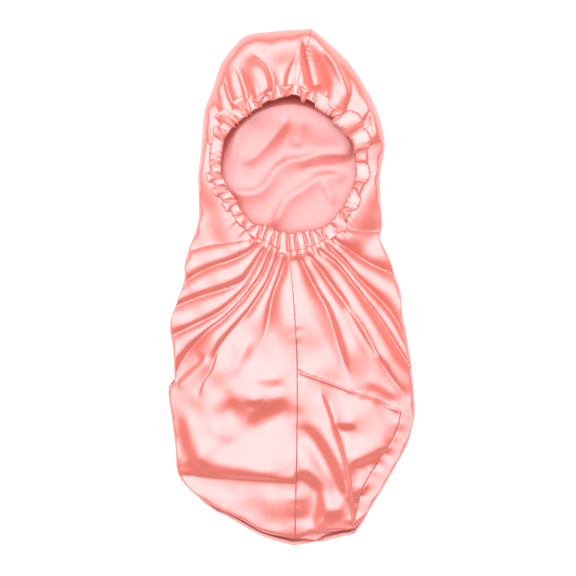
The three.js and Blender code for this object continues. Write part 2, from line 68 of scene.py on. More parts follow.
# Driving dimensions, in millimetres and degrees
WALL = 1.2
SEAM_GAP = 0.1
RING_X = -2.0  # middle of the gathered opening
RING_Y = 140.0
COLLAR_GAP = 1.0  # from the casing's edge to where the panels leave it
COLLAR_REACH = 38.0  # over which the panels leave the casing's height
TUCK = 7.0  # how far the panels run in under the casing
TUCK_DROP = 1.6
LEAST_LOFT = 0.5
DOME_REACH = 70.0  # from the outline to where the loft is full
EDGE_HEIGHT = 5.0  # of the side fold, where the upper panels and the back panel meet
EDGE_GAP = 0.12
EDGE_CROWDING = 1.9  # how much closer together places lie towards the side fold
EDGE_DRIFT = 0.6  # how fast the roll's unevenness changes from the side fold inwards
EVEN_ROLL = 5.0  # wider rolls than this are less uneven
ROLL_POWER = 3
OVERHANG = 2.0  # how far off the outline a panel's edge may be drawn
SIDE_REACH = 12.0  # the same for the side panel
HEM_LIFT = 4.0  # how much higher the open hem lies than the side folds
HEM_REACH = 16.0
LIP_WIDTH = 2.4  # of the back panel's lip under the open hem
BACK_TUCK = 1.5  # how far inside the side fold the back panel ends
BACK_OVERLAP = 1.4  # how far it rises behind the side fold there
BACK_BASE = 6.0  # its height under the middle of the opening
BACK_TILT = 0.055  # its rise towards the crown
BACK_CROWDING = 1.5
BOW_FROM_Y = 295.0  # the outline above this is the top of the crown
BOW_SHARE = 0.125  # of the back panel's length over which the crown's bow fades
SEEN_RADIUS = 80.0  # of the back panel's part that shows its folds in the opening
SEEN_FADE = 20.0
PUCKER_REACH = 5.5
LOBE_SLOPE = 0.36
NECK_FAN_TOP = 92.0
CROWN_FAN_FOOT = 152.0
FAN_FADE = 18.0

# How finely curves are drawn, and how softly a path's stretches are blended
OUTLINE_STEPS = 12
DOME_STEPS = 6
PATH_STEPS = 5
SEAM_STEPS = 8
STITCH_STEPS = 40
CENTRE_STEPS = 60
BLEND_SHARE = 0.15
BLEND_LEAST = 0.3


def rows(names: str, *values: tuple[float, ...]) -> Table:
    """Makes a table with named columns.

    Args:
        names: The column names, with spaces between them.
        values: One tuple for each row.

    Returns:
        One dictionary for each row.
    """
    return [dict(zip(names.split(), row)) for row in values]


LEFT_EDGE = rows(
    "x y ring setback",
    (25, 313, 86, 0), (5, 312.5, 90, 0), (-24, 310, 98, 0), (-53, 306, 106, 0),
    (-67, 295, 115, 0), (-85, 271, 127, 0), (-95, 242, 137, 0), (-105, 214, 148, 0),
    (-108, 185, 158, 0), (-110, 160, 168, 0), (-113, 134, 179, 0), (-112, 104, 191, 0),
    (-113, 79, 201, 0), (-122, 53, 211, 0), (-129, 31, 217, 0), (-130, 10, 222, 0),
    (-139, -18, 228, 0), (-147, -45, 234, 0), (-143, -77, 239, 0), (-142, -112, 244, 0),
    (-149, -124, 246, 0), (-144, -163, 251, 0), (-140, -194, 254, 0), (-136, -227, 257, 0),
    (-108, -257, 260, 1), (-67, -282, 263, 5), (-34, -300, 266, 5), (2, -311, 270, 9),
)
RIGHT_HEM = rows(
    "x y setback",
    (17, -310, 12), (31, -311, 14), (43, -305, 11), (61, -300, 8), (78, -293, 3),
)
RIGHT_SKIRT = rows("x y", (103, -254), (128, -211), (140, -189), (148, -158))
RIGHT_EDGE = rows(
    "x y ring",
    (149, -142, 301), (147, -116, 304), (144, -86, 308), (139, -56, 312), (134, -30, 316),
    (132, -5, 320), (125, 16, 324), (118, 37, 328), (107, 60, 333), (110, 76, 340),
    (108, 104, 348), (107, 136, 359), (111, 158, 368), (113, 172, 374), (111, 188, 381),
    (107, 204, 388), (100, 223, 396), (91, 240, 404), (70, 272, 419), (41, 300, 436),
    (25, 313, 446),
)
CENTRE_SEAM = rows("x y", (-1, 31), (7, -98), (5, -303))
RIGHT_SIDE = [LEFT_EDGE[-1], *RIGHT_HEM, *RIGHT_SKIRT, *RIGHT_EDGE]
CROSS_SEAM = rows(
    "x y ring",
    (7, -98, 270), (32, -107, 275), (62, -119, 282), (96, -135, 289), (132, -148, 297),
)
SIDE_SEAM = rows(
    "x y",
    (132, -148), (128, -168), (119, -188), (105, -209), (91, -232), (82, -254), (75, -290),
)
SIDE_EDGE = rows("x y", (149, -143), (148, -158), (140, -189), (128, -211), (103, -254), (79, -292))
LOWER_HEM = rows("x y", (5, -303), (20, -298), (36, -296), (56, -294), (75, -290))
CROWN_SEAM = rows("x y", (25, 311), (7, 288), (4, 262), (3, 236))
LOFT = rows(
    "y height roll share",
    (-314, 10, 3, 0.6), (-290, 15, 4, 0.6), (-250, 19, 4, 0.6), (-200, 22, 4, 0.6),
    (-130, 24, 4, 0.6), (-60, 24, 4, 0.6), (0, 23, 4, 0.6), (40, 23, 4, 0.65),
    (90, 26, 5, 0.75), (150, 31, 7, 0.8), (215, 36, 12, 0.82), (255, 37, 18, 0.84),
    (290, 35, 22, 0.86), (314, 33, 24, 0.86),
)
CASING = rows(
    "ring radius height width tilt",
    (0, 86, 31, 17, 8), (30, 91, 34, 20, 8), (60, 88, 37, 16, 6), (90, 95, 38, 16, 6),
    (120, 90, 37, 15, 6), (150, 93, 34, 16, 8), (180, 89, 31, 14, 8), (210, 80, 28, 14, 6),
    (240, 82, 25, 18, 5), (270, 87, 24, 28, 4), (300, 87, 25, 20, 5), (330, 84, 28, 15, 8),
    (360, 86, 31, 17, 8),
)
# How strongly the panels are gathered at each angle of the opening
GATHERING = rows(
    "ring share",
    (0, 0.1), (40, 0.3), (60, 0.5), (120, 0.5), (145, 0.3), (165, 0.1), (205, 0.15),
    (235, 0.8), (255, 1.1), (290, 1.1), (310, 0.7), (330, 0.25), (360, 0.15),
)
# Each puff of the casing runs from its start to the next one's start
PUFFS = rows(
    "start width thick twist shift",
    (-62, 19, 6, 12, 0), (-52, 22, 6, -14, 3), (-41, 12, 5, 16, -2), (-33, 17, 6, -10, 1),
    (-18, 11, 5, 22, -2), (-10, 18, 6, -8, 2), (6, 15, 6, 10, -1), (15, 24, 10, -4, 3),
    (31, 30, 12, -3, 2), (48, 11, 5, 16, -2), (53, 19, 6, 5, 1), (71, 13, 5, -16, 2),
    (76, 17, 5, 14, -2), (83, 15, 5, -14, 3), (89, 13, 5, 16, 0), (96, 18, 5, -12, 2),
    (101, 12, 5, 12, -1), (107, 14, 5, -14, 2), (111, 12, 5, 16, -2), (117, 17, 6, -12, 2),
    (123, 24, 6, 14, 5), (130, 17, 6, -14, 1), (136, 25, 7, 10, 6), (144, 14, 5, -18, 0),
    (149, 18, 6, 14, 3), (156, 15, 5, 4, 0), (176, 12, 5, -12, -1), (182, 20, 6, 12, 2),
    (187, 13, 6, -13, -2), (193, 20, 6, 12, 2), (199, 15, 6, -12, 0), (206, 19, 6, 16, 1),
    (212, 12, 5, -14, 0), (222, 14, 5, 12, 0), (230, 12, 5, -14, 1), (237, 18, 6, 8, 0),
    (244, 24, 6, -10, 0), (249, 28, 6, 8, 0), (256, 26, 6, -9, 1), (261, 30, 7, 8, -1),
    (269, 27, 7, -8, 1), (275, 31, 7, 8, 0), (283, 26, 6, -9, 0), (288, 25, 6, 9, 0),
    (294, 20, 6, -12, 0), (298, 19, 6, 12, 0),
)


class StepKind(Enum):
    """How a step's higher side meets its lower side."""

    SOFT = "soft"
    KINKED = "kinked"


@dataclass(frozen=True)
class Valley:
    """A crease that starts at the gathered opening, and the rounded fold that follows it."""

    path: Path
    height: float = 0.0
    peak: float = 0.5
    fade: float = 0.1
    roundness: float = 2.5


@dataclass(frozen=True)
class Fold:
    """A crest, or with a minus height a trough, along a path; skew widens the side on its left."""

    path: Path
    width: tuple[float, float]
    height: float
    skew: float = 0.0
    power: float = 2.0
    fade: float = 0.2
    end_fade: float | None = None

    def relief(self, x: Array, y: Array) -> Array:
        """Gives the fold's height.

        Args:
            x: The points' x.
            y: The points' y.

        Returns:
            Millimetres to add to the surface.
        """
        at = nearness(x, y, curve_of(self.path), self.fade, self.end_fade)
        width = mix(self.width[0], self.width[1], at.share) * (1.0 + self.skew * at.side)
        return self.height * at.started * at.unended * np.exp(-((at.away / width) ** self.power))


@dataclass(frozen=True)
class Step:
    """A slope between two levels along a path, higher on the path's left unless the rise is minus."""

    path: Path
    rise: float
    width: float
    reach: float = 35.0
    kind: StepKind = StepKind.SOFT
    fade: float = 0.2

    def relief(self, x: Array, y: Array) -> Array:
        """Gives the step's height.

        Args:
            x: The points' x.
            y: The points' y.

        Returns:
            Millimetres to add to the surface.
        """
        at = nearness(x, y, curve_of(self.path), self.fade)
        shape = 0.5 * np.tanh(at.away / self.width) * at.side
        if self.kind is StepKind.KINKED:
            shape = (1 - np.exp(-at.away / self.width)) * np.maximum(at.side, 0)
        return self.rise * shape * np.exp(-((at.away / self.reach) ** 2)) * at.started * at.unended


# The folds that fan out below the opening, anticlockwise, each after its crease
NECK_FAN = (
    Valley(((-53, 58), (-76, 55), (-97, 52), (-122, 45), (-160, 28)), 6.0, 0.55),
    Valley(((-42, 51), (-56, 41), (-73, 33), (-89, 28), (-110, 19), (-134, 4), (-175, -20)), 9.0, 0.62),
    Valley(
        ((-36, 45), (-48, 23), (-59, 8), (-80, -1), (-101, -7), (-124, -15), (-146, -25), (-185, -42)),
        6.0, 0.6,
    ),
    Valley(
        ((-34, 44), (-46, 20), (-59, -3), (-82, -26), (-107, -40), (-128, -50), (-150, -60), (-190, -78)),
        9.0, 0.6,
    ),
    Valley(
        ((-27, 40), (-36, 16), (-47, 1), (-61, -16), (-82, -37), (-101, -52), (-126, -79), (-142, -108),
         (-160, -150)),
        9.0, 0.6, 0.22,
    ),
    Valley(
        ((-17, 36), (-30, 5), (-48, -23), (-61, -39), (-76, -56), (-89, -75), (-97, -100), (-112, -134)),
        7.0, 0.5, 0.45,
    ),
    Valley(((-8, 33), (-14, 14), (-20, -1), (-25, -20), (-29, -43), (-36, -69), (-42, -96)), 9.0, 0.45, 0.6),
    Valley(
        ((12, 34), (23, 11), (34, -9), (42, -23), (50, -47), (56, -68), (64, -93), (74, -122)),
        9.0, 0.35, 0.3,
    ),
    Valley(
        ((22, 38), (36, 21), (47, 5), (65, -19), (83, -45), (98, -71), (113, -97), (128, -118), (146, -140)),
        9.0, 0.4, 0.2,
    ),
    Valley(((34, 44), (55, 28), (72, 7), (89, -15), (106, -37), (121, -61), (139, -89), (165, -130)), 8.0, 0.5),
    Valley(
        ((44, 51), (64, 31), (78, 14), (95, -3), (112, -20), (127, -41), (139, -65), (170, -120)),
        8.0, 0.45,
    ),
    Valley(((52, 57), (70, 45), (91, 31), (112, 21), (130, 14), (170, -4)), 8.0, 0.6),
    Valley(((57, 71), (76, 69), (96, 68), (115, 69), (160, 70))),
)
CROWN_FAN = (
    Valley(((88, 165), (98, 172), (112, 177)), 3.0),
    Valley(((86, 196), (95, 215), (92, 232), (80, 256)), 4.0, 0.3, 0.4),
    Valley(((66, 212), (72, 234), (64, 256), (50, 278)), 6.0, 0.6, 0.4),
    Valley(((42, 230), (41, 250), (34, 270), (25, 300)), 0.5, 0.6, 0.4),
    Valley(((-3, 232), (-4, 250), (2, 268), (13, 294)), 4.0, 0.35, 0.5, 2.0),
    Valley(((-26, 226), (-22, 244), (-30, 266), (-52, 286)), 9.0, 0.3, 0.3, 2.0),
    Valley(((-52, 222), (-56, 238), (-62, 256), (-72, 278)), 6.0, 0.4, 0.4),
    Valley(((-68, 215), (-76, 236), (-80, 256), (-86, 272)), 6.0, 0.4, 0.4),
    Valley(((-84, 204), (-94, 226), (-96, 246), (-92, 264)), 1.6, 0.5, 0.4),
    Valley(((-102, 177), (-108, 183), (-115, 189))),
)
CROWN_FOLDS = (
    Fold(((15, 308), (19, 276), (29, 234)), (8.0, 13.0), -16.0, 0.55, 2.0, 0.7, 0.12),
    Fold(((36, 292), (50, 270), (62, 246), (70, 222)), (6.0, 7.0), 3.5, 0.3, 1.8, 0.3),
    Fold(((84, 236), (94, 214), (100, 190), (102, 168)), (7.0, 8.0), 3.0, 0.3, 1.8, 0.3),
)
BAG_STEPS = (
    Step(
        ((-88, -128), (-68, -137), (-54, -149), (-44, -153), (-24, -143), (5, -132)),
        16.0, 15.0, 42.0, fade=0.22,
    ),
    Step(((-62, -135), (-46, -138), (-28, -134)), 5.0, 5.0, 14.0, fade=0.45),
    Step(((-50, -106), (-30, -114), (-2, -112)), 7.0, 8.0, 15.0, fade=0.35),
    Step(((47, -160), (62, -167), (82, -166)), 6.0, 6.0, 14.0, fade=0.35),
    Step(((-112, -172), (-90, -178), (-68, -186), (-54, -190)), 4.5, 9.0, 24.0, fade=0.4),
    Step(((-130, -140), (-130, -175), (-120, -206), (-92, -219)), 9.0, 12.0, 30.0, fade=0.25),
    Step(((-150, -212), (-100, -216), (-50, -224), (-10, -230)), 7.0, 9.0, 24.0, fade=0.14),
    Step(((-137, -225), (-95, -228), (-40, -231), (7, -235)), 3.6, 3.0, 18.0, StepKind.KINKED, 0.04),
    Step(((4, -158), (18, -168), (32, -182), (46, -206), (58, -232), (66, -262)), 12.0, 11.0, 26.0, fade=0.18),
    Step(((2, -222), (20, -228), (34, -242), (34, -264), (24, -292)), 11.0, 10.0, 22.0, fade=0.14),
    Step(((34, -119), (46, -150), (62, -200), (72, -251), (76, -300)), -4.5, 2.2, 16.0, fade=0.12),
    Step(((66, -214), (84, -210), (104, -200), (122, -190)), 7.0, 6.0, 22.0, fade=0.2),
    Step(((72, -262), (84, -246), (96, -236)), 5.0, 4.0, 14.0, fade=0.3),
    Step(((84, -112), (108, -124), (134, -138)), 6.0, 8.0, 22.0, fade=0.3),
    Step(((-142, -119), (-128, -106), (-112, -92), (-101, -81)), -5.0, 1.6, 20.0),
    Step(((-89, -72), (-92, -85), (-97, -100), (-106, -115), (-112, -134)), 3.0, 1.4, 16.0),
    Step(((-104, -262), (-66, -279), (-38, -294), (0, -304)), 5.0, 4.0, 16.0),
)
BAG_FOLDS = (
    Fold(((62, -12), (72, -30), (90, -62), (112, -95)), (5.0, 6.0), 3.0),
    Fold(((-44, -56), (-60, -80), (-74, -112)), (7.0, 10.0), 2.4, fade=0.35),
    Fold(((-124, -204), (-98, -190), (-80, -176)), (9.0, 12.0), 1.6, fade=0.4),
    Fold(((-96, -240), (-84, -252), (-70, -246)), (12.0, 14.0), 1.2, fade=0.5),
    Fold(((8, -100), (60, -119), (132, -149)), (2.4, 2.4), 1.5, 0.0, 2.0, 0.04),
    Fold(((34, -262), (50, -268), (66, -262)), (9.0, 8.0), 2.4, fade=0.4),
    Fold(((-30, -190), (-60, -200), (-86, -206)), (16.0, 12.0), 1.5, fade=0.5),
)
BACK_FOLDS = (
    Fold(
        ((-84, 116), (-68, 115), (-46, 115), (-30, 125), (-18, 144), (-1, 153), (12, 155), (38, 162),
         (80, 161)),
        (10, 10), 4.6, -0.3, 1.3, 0.12,
    ),
    Fold(((-24, 70), (-7, 105), (11, 118), (28, 130), (39, 134), (72, 136)), (9, 10), 4.0, -0.3, 1.3, 0.15),
    Fold(((34, 132), (44, 118), (52, 98)), (6, 7), 2.2, 0.2, 1.4, 0.3),
    Fold(((1, 212), (-18, 187), (-46, 158), (-66, 150)), (9, 13), 4.4, -0.3, 1.3, 0.2),
    Fold(((16, 210), (10, 190), (4, 166)), (10, 12), 2.4, -0.2, 1.8, 0.25),
    Fold(((-64, 200), (-69, 167), (-74, 132)), (7, 8), 1.8, 0.0, 1.6, 0.4),
    Fold(((6, 196), (-4, 183), (-14, 162), (-28, 131)), (7, 10), -1.6, 0.0, 2.0, 0.3),
    Fold(((5, 135), (20, 144), (62, 146)), (6, 8), -1.4, 0.0, 2.0, 0.3),
)
BACK_STEPS = (
    Step(((84, 166), (40, 178), (0, 196), (-60, 200)), -9.0, 20.0, 64.0, fade=0.1),
    Step(((80, 152), (40, 168), (14, 176)), -4.0, 12.0, 36.0, fade=0.3),
)


def smooth(t: Array) -> Array:
    """Eases from 0 to 1 as t goes from 0 to 1."""
    c = np.clip(t, 0.0, 1.0)
    return c * c * (3.0 - 2.0 * c)


def mix(a: Array, b: Array, t: Array) -> Array:
    """Blends a into b by the share t."""
    return a + (b - a) * t


def column(table: Table, name: str) -> Array:
    """Lists one column of a table."""
    return np.array([row[name] for row in table], float)


def eased_lookup(table: Table, key: str, name: str, at: Array) -> Array:
    """Reads one column between a table's rows, with a soft turn at each row.

    Args:
        table: The table, in rising order of key.
        key: The column that at is measured in.
        name: The column to read.
        at: The places to read it at.

    Returns:
        The column's value at each place.
    """
    keys = column(table, key)
    values = column(table, name)
    i = np.clip(np.searchsorted(keys, at) - 1, 0, len(keys) - 2)
    t = (at - keys[i]) / (keys[i + 1] - keys[i])
    return mix(values[i], values[i + 1], smooth(t))


def curve_through(table: Table, names: tuple[str, ...], shares: Array) -> dict[str, Array]:
    """Draws a smooth curve through a table's rows.

    Args:
        table: The rows that it passes through, evenly spaced along it.
        names: The columns to follow.
        shares: Places along it, 0 at the first row and 1 at the last.

    Returns:
        Each column's values at the shares.
    """
    last = len(table) - 1
    at = np.clip(shares, 0.0, 1.0 - TINY) * last
    i = np.floor(at).astype(int)
    t = at - i
    found = {}
    for name in names:
        v = column(table, name)
        a, b, c, d = (v[np.clip(i + k, 0, last)] for k in (-1, 0, 1, 2))
        curve = 2 * b + (c - a) * t + (2 * a - 5 * b + 4 * c - d) * t**2
        found[name] = 0.5 * (curve + (3 * b - 3 * c + d - a) * t**3)
    return found


def run_along(path: Array) -> Array:
    """Gives the distance along a path at each of its places."""
    return np.concatenate([[0.0], np.cumsum(np.hypot(*np.diff(path, axis=0).T))])


def leftward(curve: Array) -> Array:
    """Looks to the left of a curve.

    Args:
        curve: Its places, one row each.

    Returns:
        The direction to the left at each place, one long.
    """
    along = np.gradient(curve, axis=0)
    along /= np.linalg.norm(along, axis=1, keepdims=True)
    return np.stack([-along[:, 1], along[:, 0]], 1)


def stretches(x: Array, y: Array, path: Array) -> Iterator[tuple[Array, Array, Array]]:
    """Measures from points to each straight stretch of a path in turn.

    Args:
        x: The points' x.
        y: The points' y.
        path: The path's places, one row each.

    Returns:
        For each stretch the points' distance from it, the side that they lie on, plus on the left, and how
        far along the path the nearest place on it is.
    """
    run = 0.0
    for a, b in zip(path[:-1], path[1:]):
        step = b - a
        length = math.hypot(*step)
        t = np.clip(((x - a[0]) * step[0] + (y - a[1]) * step[1]) / length**2, 0.0, 1.0)
        dx = x - a[0] - t * step[0]
        dy = y - a[1] - t * step[1]
        away = np.hypot(dx, dy)
        yield away, (step[0] * dy - step[1] * dx) / (length * away + TINY), run + t * length
        run += length


def distance_to_path(x: Array, y: Array, path: Array) -> tuple[Array, Array]:
    """Measures from points to a path of straight stretches.

    Args:
        x: The points' x.
        y: The points' y.
        path: The path's places, one row each.

    Returns:
        The signed distance, plus on the path's left, and the distance along the path.
    """
    nearest = np.full(x.shape, np.inf)
    signed = np.zeros(x.shape)
    along = np.zeros(x.shape)
    for away, side, at in stretches(x, y, path):
        closer = away < nearest
        nearest = np.where(closer, away, nearest)
        signed = np.where(closer, np.where(side >= 0, away, -away), signed)
        along = np.where(closer, at, along)
    return signed, along


@dataclass(frozen=True)
class Nearness:
    """How points lie to a path, blended where two stretches of it are as near."""

    away: Array
    side: Array
    share: Array
    started: Array
    unended: Array


def nearness(
    x: Array, y: Array, path: Array, fade: float = 0.2, end_fade: float | None = None
) -> Nearness:
    """Measures from points to a path.

    Args:
        x: The points' x.
        y: The points' y.
        path: The path's places, one row each.
        fade: The share of the path over which what follows it grows from nothing.
        end_fade: The same at its end, the start's share if left out.

    Returns:
        The distance, the side from 1 on the path's left to -1 on its right, the share of the path, and
        how much of what follows the path is there after its start and before its end.
    """
    out = end_fade or fade
    nearest = np.abs(distance_to_path(x, y, path)[0])
    blur = BLEND_SHARE * nearest + BLEND_LEAST
    whole = run_along(path)[-1]
    total, away, side, share, started, unended = np.zeros((6, *x.shape))
    for distance, on, at in stretches(x, y, path):
        weight = np.exp((nearest - distance) / blur)
        part = at / whole
        total += weight
        away += weight * distance
        side += weight * on
        share += weight * part
        started += weight * smooth(part / fade)
        unended += weight * smooth((1 - part) / out)
    return Nearness(away / total, side / total, share / total, started / total, unended / total)


def ring_angle(x: Array, y: Array) -> Array:
    """Gives the angle at the opening's centre, in degrees from 0 to 360."""
    return np.degrees(np.arctan2(y - RING_Y, x - RING_X)) % 360.0


def path_of(table: Table, samples: int) -> Array:
    """Samples the smooth curve through a table's x and y."""
    found = curve_through(table, ("x", "y"), np.linspace(0, 1, samples))
    return np.stack([found["x"], found["y"]], 1)


@dataclass(frozen=True)
class Lobes:
    """Gathers round the opening: rounded lobes between pinched valleys, irregular in width and reach."""

    count: int
    height: float
    reach: float
    seed: int
    widths: tuple[float, float] = (0.55, 1.45)
    heights: tuple[float, float] = (0.6, 1.3)
    reaches: tuple[float, float] = (0.5, 1.5)
    roundness: float = 0.75
    falloff: float = 1.4

    def relief(self, ring: Array, out: Array) -> Array:
        """Gives the gathers' height.

        Args:
            ring: The angle at which each point's cloth is gathered.
            out: Each point's distance from the casing, in millimetres.

        Returns:
            Millimetres to add to the surface.
        """
        draw = np.random.default_rng(self.seed)
        steps = draw.uniform(*self.widths, self.count)
        valleys = np.concatenate([[0.0], np.cumsum(steps) / steps.sum() * 360.0])
        tall = draw.uniform(*self.heights, self.count)
        far = draw.uniform(*self.reaches, self.count)
        turned = ring % 360.0
        i = np.clip(np.searchsorted(valleys, turned) - 1, 0, self.count - 1)
        t = (turned - valleys[i]) / (valleys[i + 1] - valleys[i])
        lobe = np.sin(np.pi * np.clip(t, 0, 1)) ** self.roundness
        fade = np.exp(-((out / (self.reach * far[i])) ** self.falloff))
        return self.height * tall[i] * lobe * fade


@dataclass(frozen=True)
class Seam:
    """A sewn seam: a narrow groove with the small puckers that its stitches pull into the cloth."""

    table: Table
    depth: float = 0.35
    width: float = 1.1
    pucker: float = 0.35
    period: float = 6.5
    seed: int = 1
    puckers: int = 200
    spacing: tuple[float, float] = (0.4, 2.0)
    strengths: tuple[float, float] = (0.0, 1.5)
    reaches: tuple[float, float] = (0.6, 1.6)
    falloff: float = 1.3
    end_gap: float = 0.5
    end_fade: float = 2.0

    def relief(self, x: Array, y: Array) -> Array:
        """Gives the groove's and puckers' height.

        Args:
            x: The points' x.
            y: The points' y.

        Returns:
            Millimetres to add to the surface.
        """
        path = path_of(self.table, SEAM_STEPS * len(self.table))
        signed, along = distance_to_path(x, y, path)
        away = np.abs(signed)
        left = run_along(path)[-1] - along
        inside = smooth((along - self.end_gap) / self.end_fade) * smooth((left - self.end_gap) / self.end_fade)
        groove = -self.depth * np.exp(-((away / self.width) ** 2))
        draw = np.random.default_rng(self.seed)
        knots = np.cumsum(draw.uniform(*self.spacing, self.puckers)) * self.period
        phase = np.interp(along, knots, np.arange(self.puckers) * np.pi)
        strength = np.interp(along, knots, draw.uniform(*self.strengths, self.puckers) ** 2)
        reach = PUCKER_REACH * np.interp(along, knots, draw.uniform(*self.reaches, self.puckers))
        fade = np.exp(-((away / reach) ** self.falloff))
        return (groove + self.pucker * strength * np.sin(phase) * fade) * inside


def curve_of(path: Path) -> Array:
    """Samples the smooth curve through a path's places."""
    return path_of([{"x": x, "y": y} for x, y in path], PATH_STEPS * len(path))


@dataclass(frozen=True)
class Fan:
    """Folds that fan out from the gathered opening, rounded up between neighbouring creases."""

    creases: tuple[Valley, ...]

    def relief(self, x: Array, y: Array) -> Array:
        """Gives the folds' height.

        Args:
            x: The points' x.
            y: The points' y.

        Returns:
            Millimetres to add to the surface.
        """
        total = np.zeros(x.shape)
        measured = [nearness(x, y, curve_of(crease.path), crease.fade) for crease in self.creases]
        for crease, before, after in zip(self.creases[:-1], measured[:-1], measured[1:]):
            between = (before.side > 0) & (after.side < 0)
            gap = before.away + after.away + TINY
            t = before.away / gap
            past = 1 - 0.5 * (1 - t) / (1 - crease.peak)
            bent = np.where(t < crease.peak, 0.5 * t / crease.peak, past)
            tall = crease.height * (1 - np.exp(-LOBE_SLOPE * gap / crease.height))
            lobe = 1 - np.abs(2 * bent - 1) ** crease.roundness
            total += np.where(between, tall * before.unended * after.unended * lobe, 0.0)
        return total


@dataclass(frozen=True)
class Ripples:
    """Faint soft unevenness of cloth that isn't pulled tight, as a sum of slow waves."""

    height: float
    length: float
    waves: int = 22
    seed: int = 2
    lengths: tuple[float, float] = (0.6, 1.6)

    def relief(self, x: Array, y: Array) -> Array:
        """Gives the unevenness.

        Args:
            x: The points' x.
            y: The points' y.

        Returns:
            Millimetres to add to the surface.
        """
        draw = np.random.default_rng(self.seed)
        total = np.zeros(x.shape)
        for _ in range(self.waves):
            heading = draw.uniform(0, np.pi)
            pace = 2 * np.pi / (self.length * draw.uniform(*self.lengths))
            phase = draw.uniform(0, 2 * np.pi)
            total += np.sin(pace * (x * math.cos(heading) + y * math.sin(heading)) + phase)
        return self.height * total / math.sqrt(self.waves / 2)


def with_setback(table: Table) -> Table:
    """Keeps a table's places and the hem's setback there, none where the table has no setback."""
    return [{"x": row["x"], "y": row["y"], "setback": row.get("setback", 0.0)} for row in table]


def outline_points() -> tuple[Array, Array]:
    """Draws the bonnet's outline as it lies.

    Returns:
        Its places, one row each, and the setback of the upper panels' hem at each.
    """
    names = ("x", "y", "setback")
    sides = (LEFT_EDGE, with_setback(RIGHT_SIDE))
    curves = [curve_through(side, names, np.linspace(0, 1, OUTLINE_STEPS * len(side))) for side in sides]
    joined = {name: np.concatenate([curve[name][:-1] for curve in curves]) for name in names}
    return np.stack([joined["x"], joined["y"]], 1), joined["setback"]


def inset(points: Array, setback: Array) -> Array:
    """Moves each point of a closed outline inwards.

    Args:
        points: The outline's places, one row each.
        setback: How far each one moves, in millimetres.

    Returns:
        The moved places.
    """
    along = np.roll(points, -1, 0) - np.roll(points, 1, 0)
    along /= np.linalg.norm(along, axis=1, keepdims=True)
    return points + np.stack([-along[:, 1], along[:, 0]], 1) * setback[:, None]


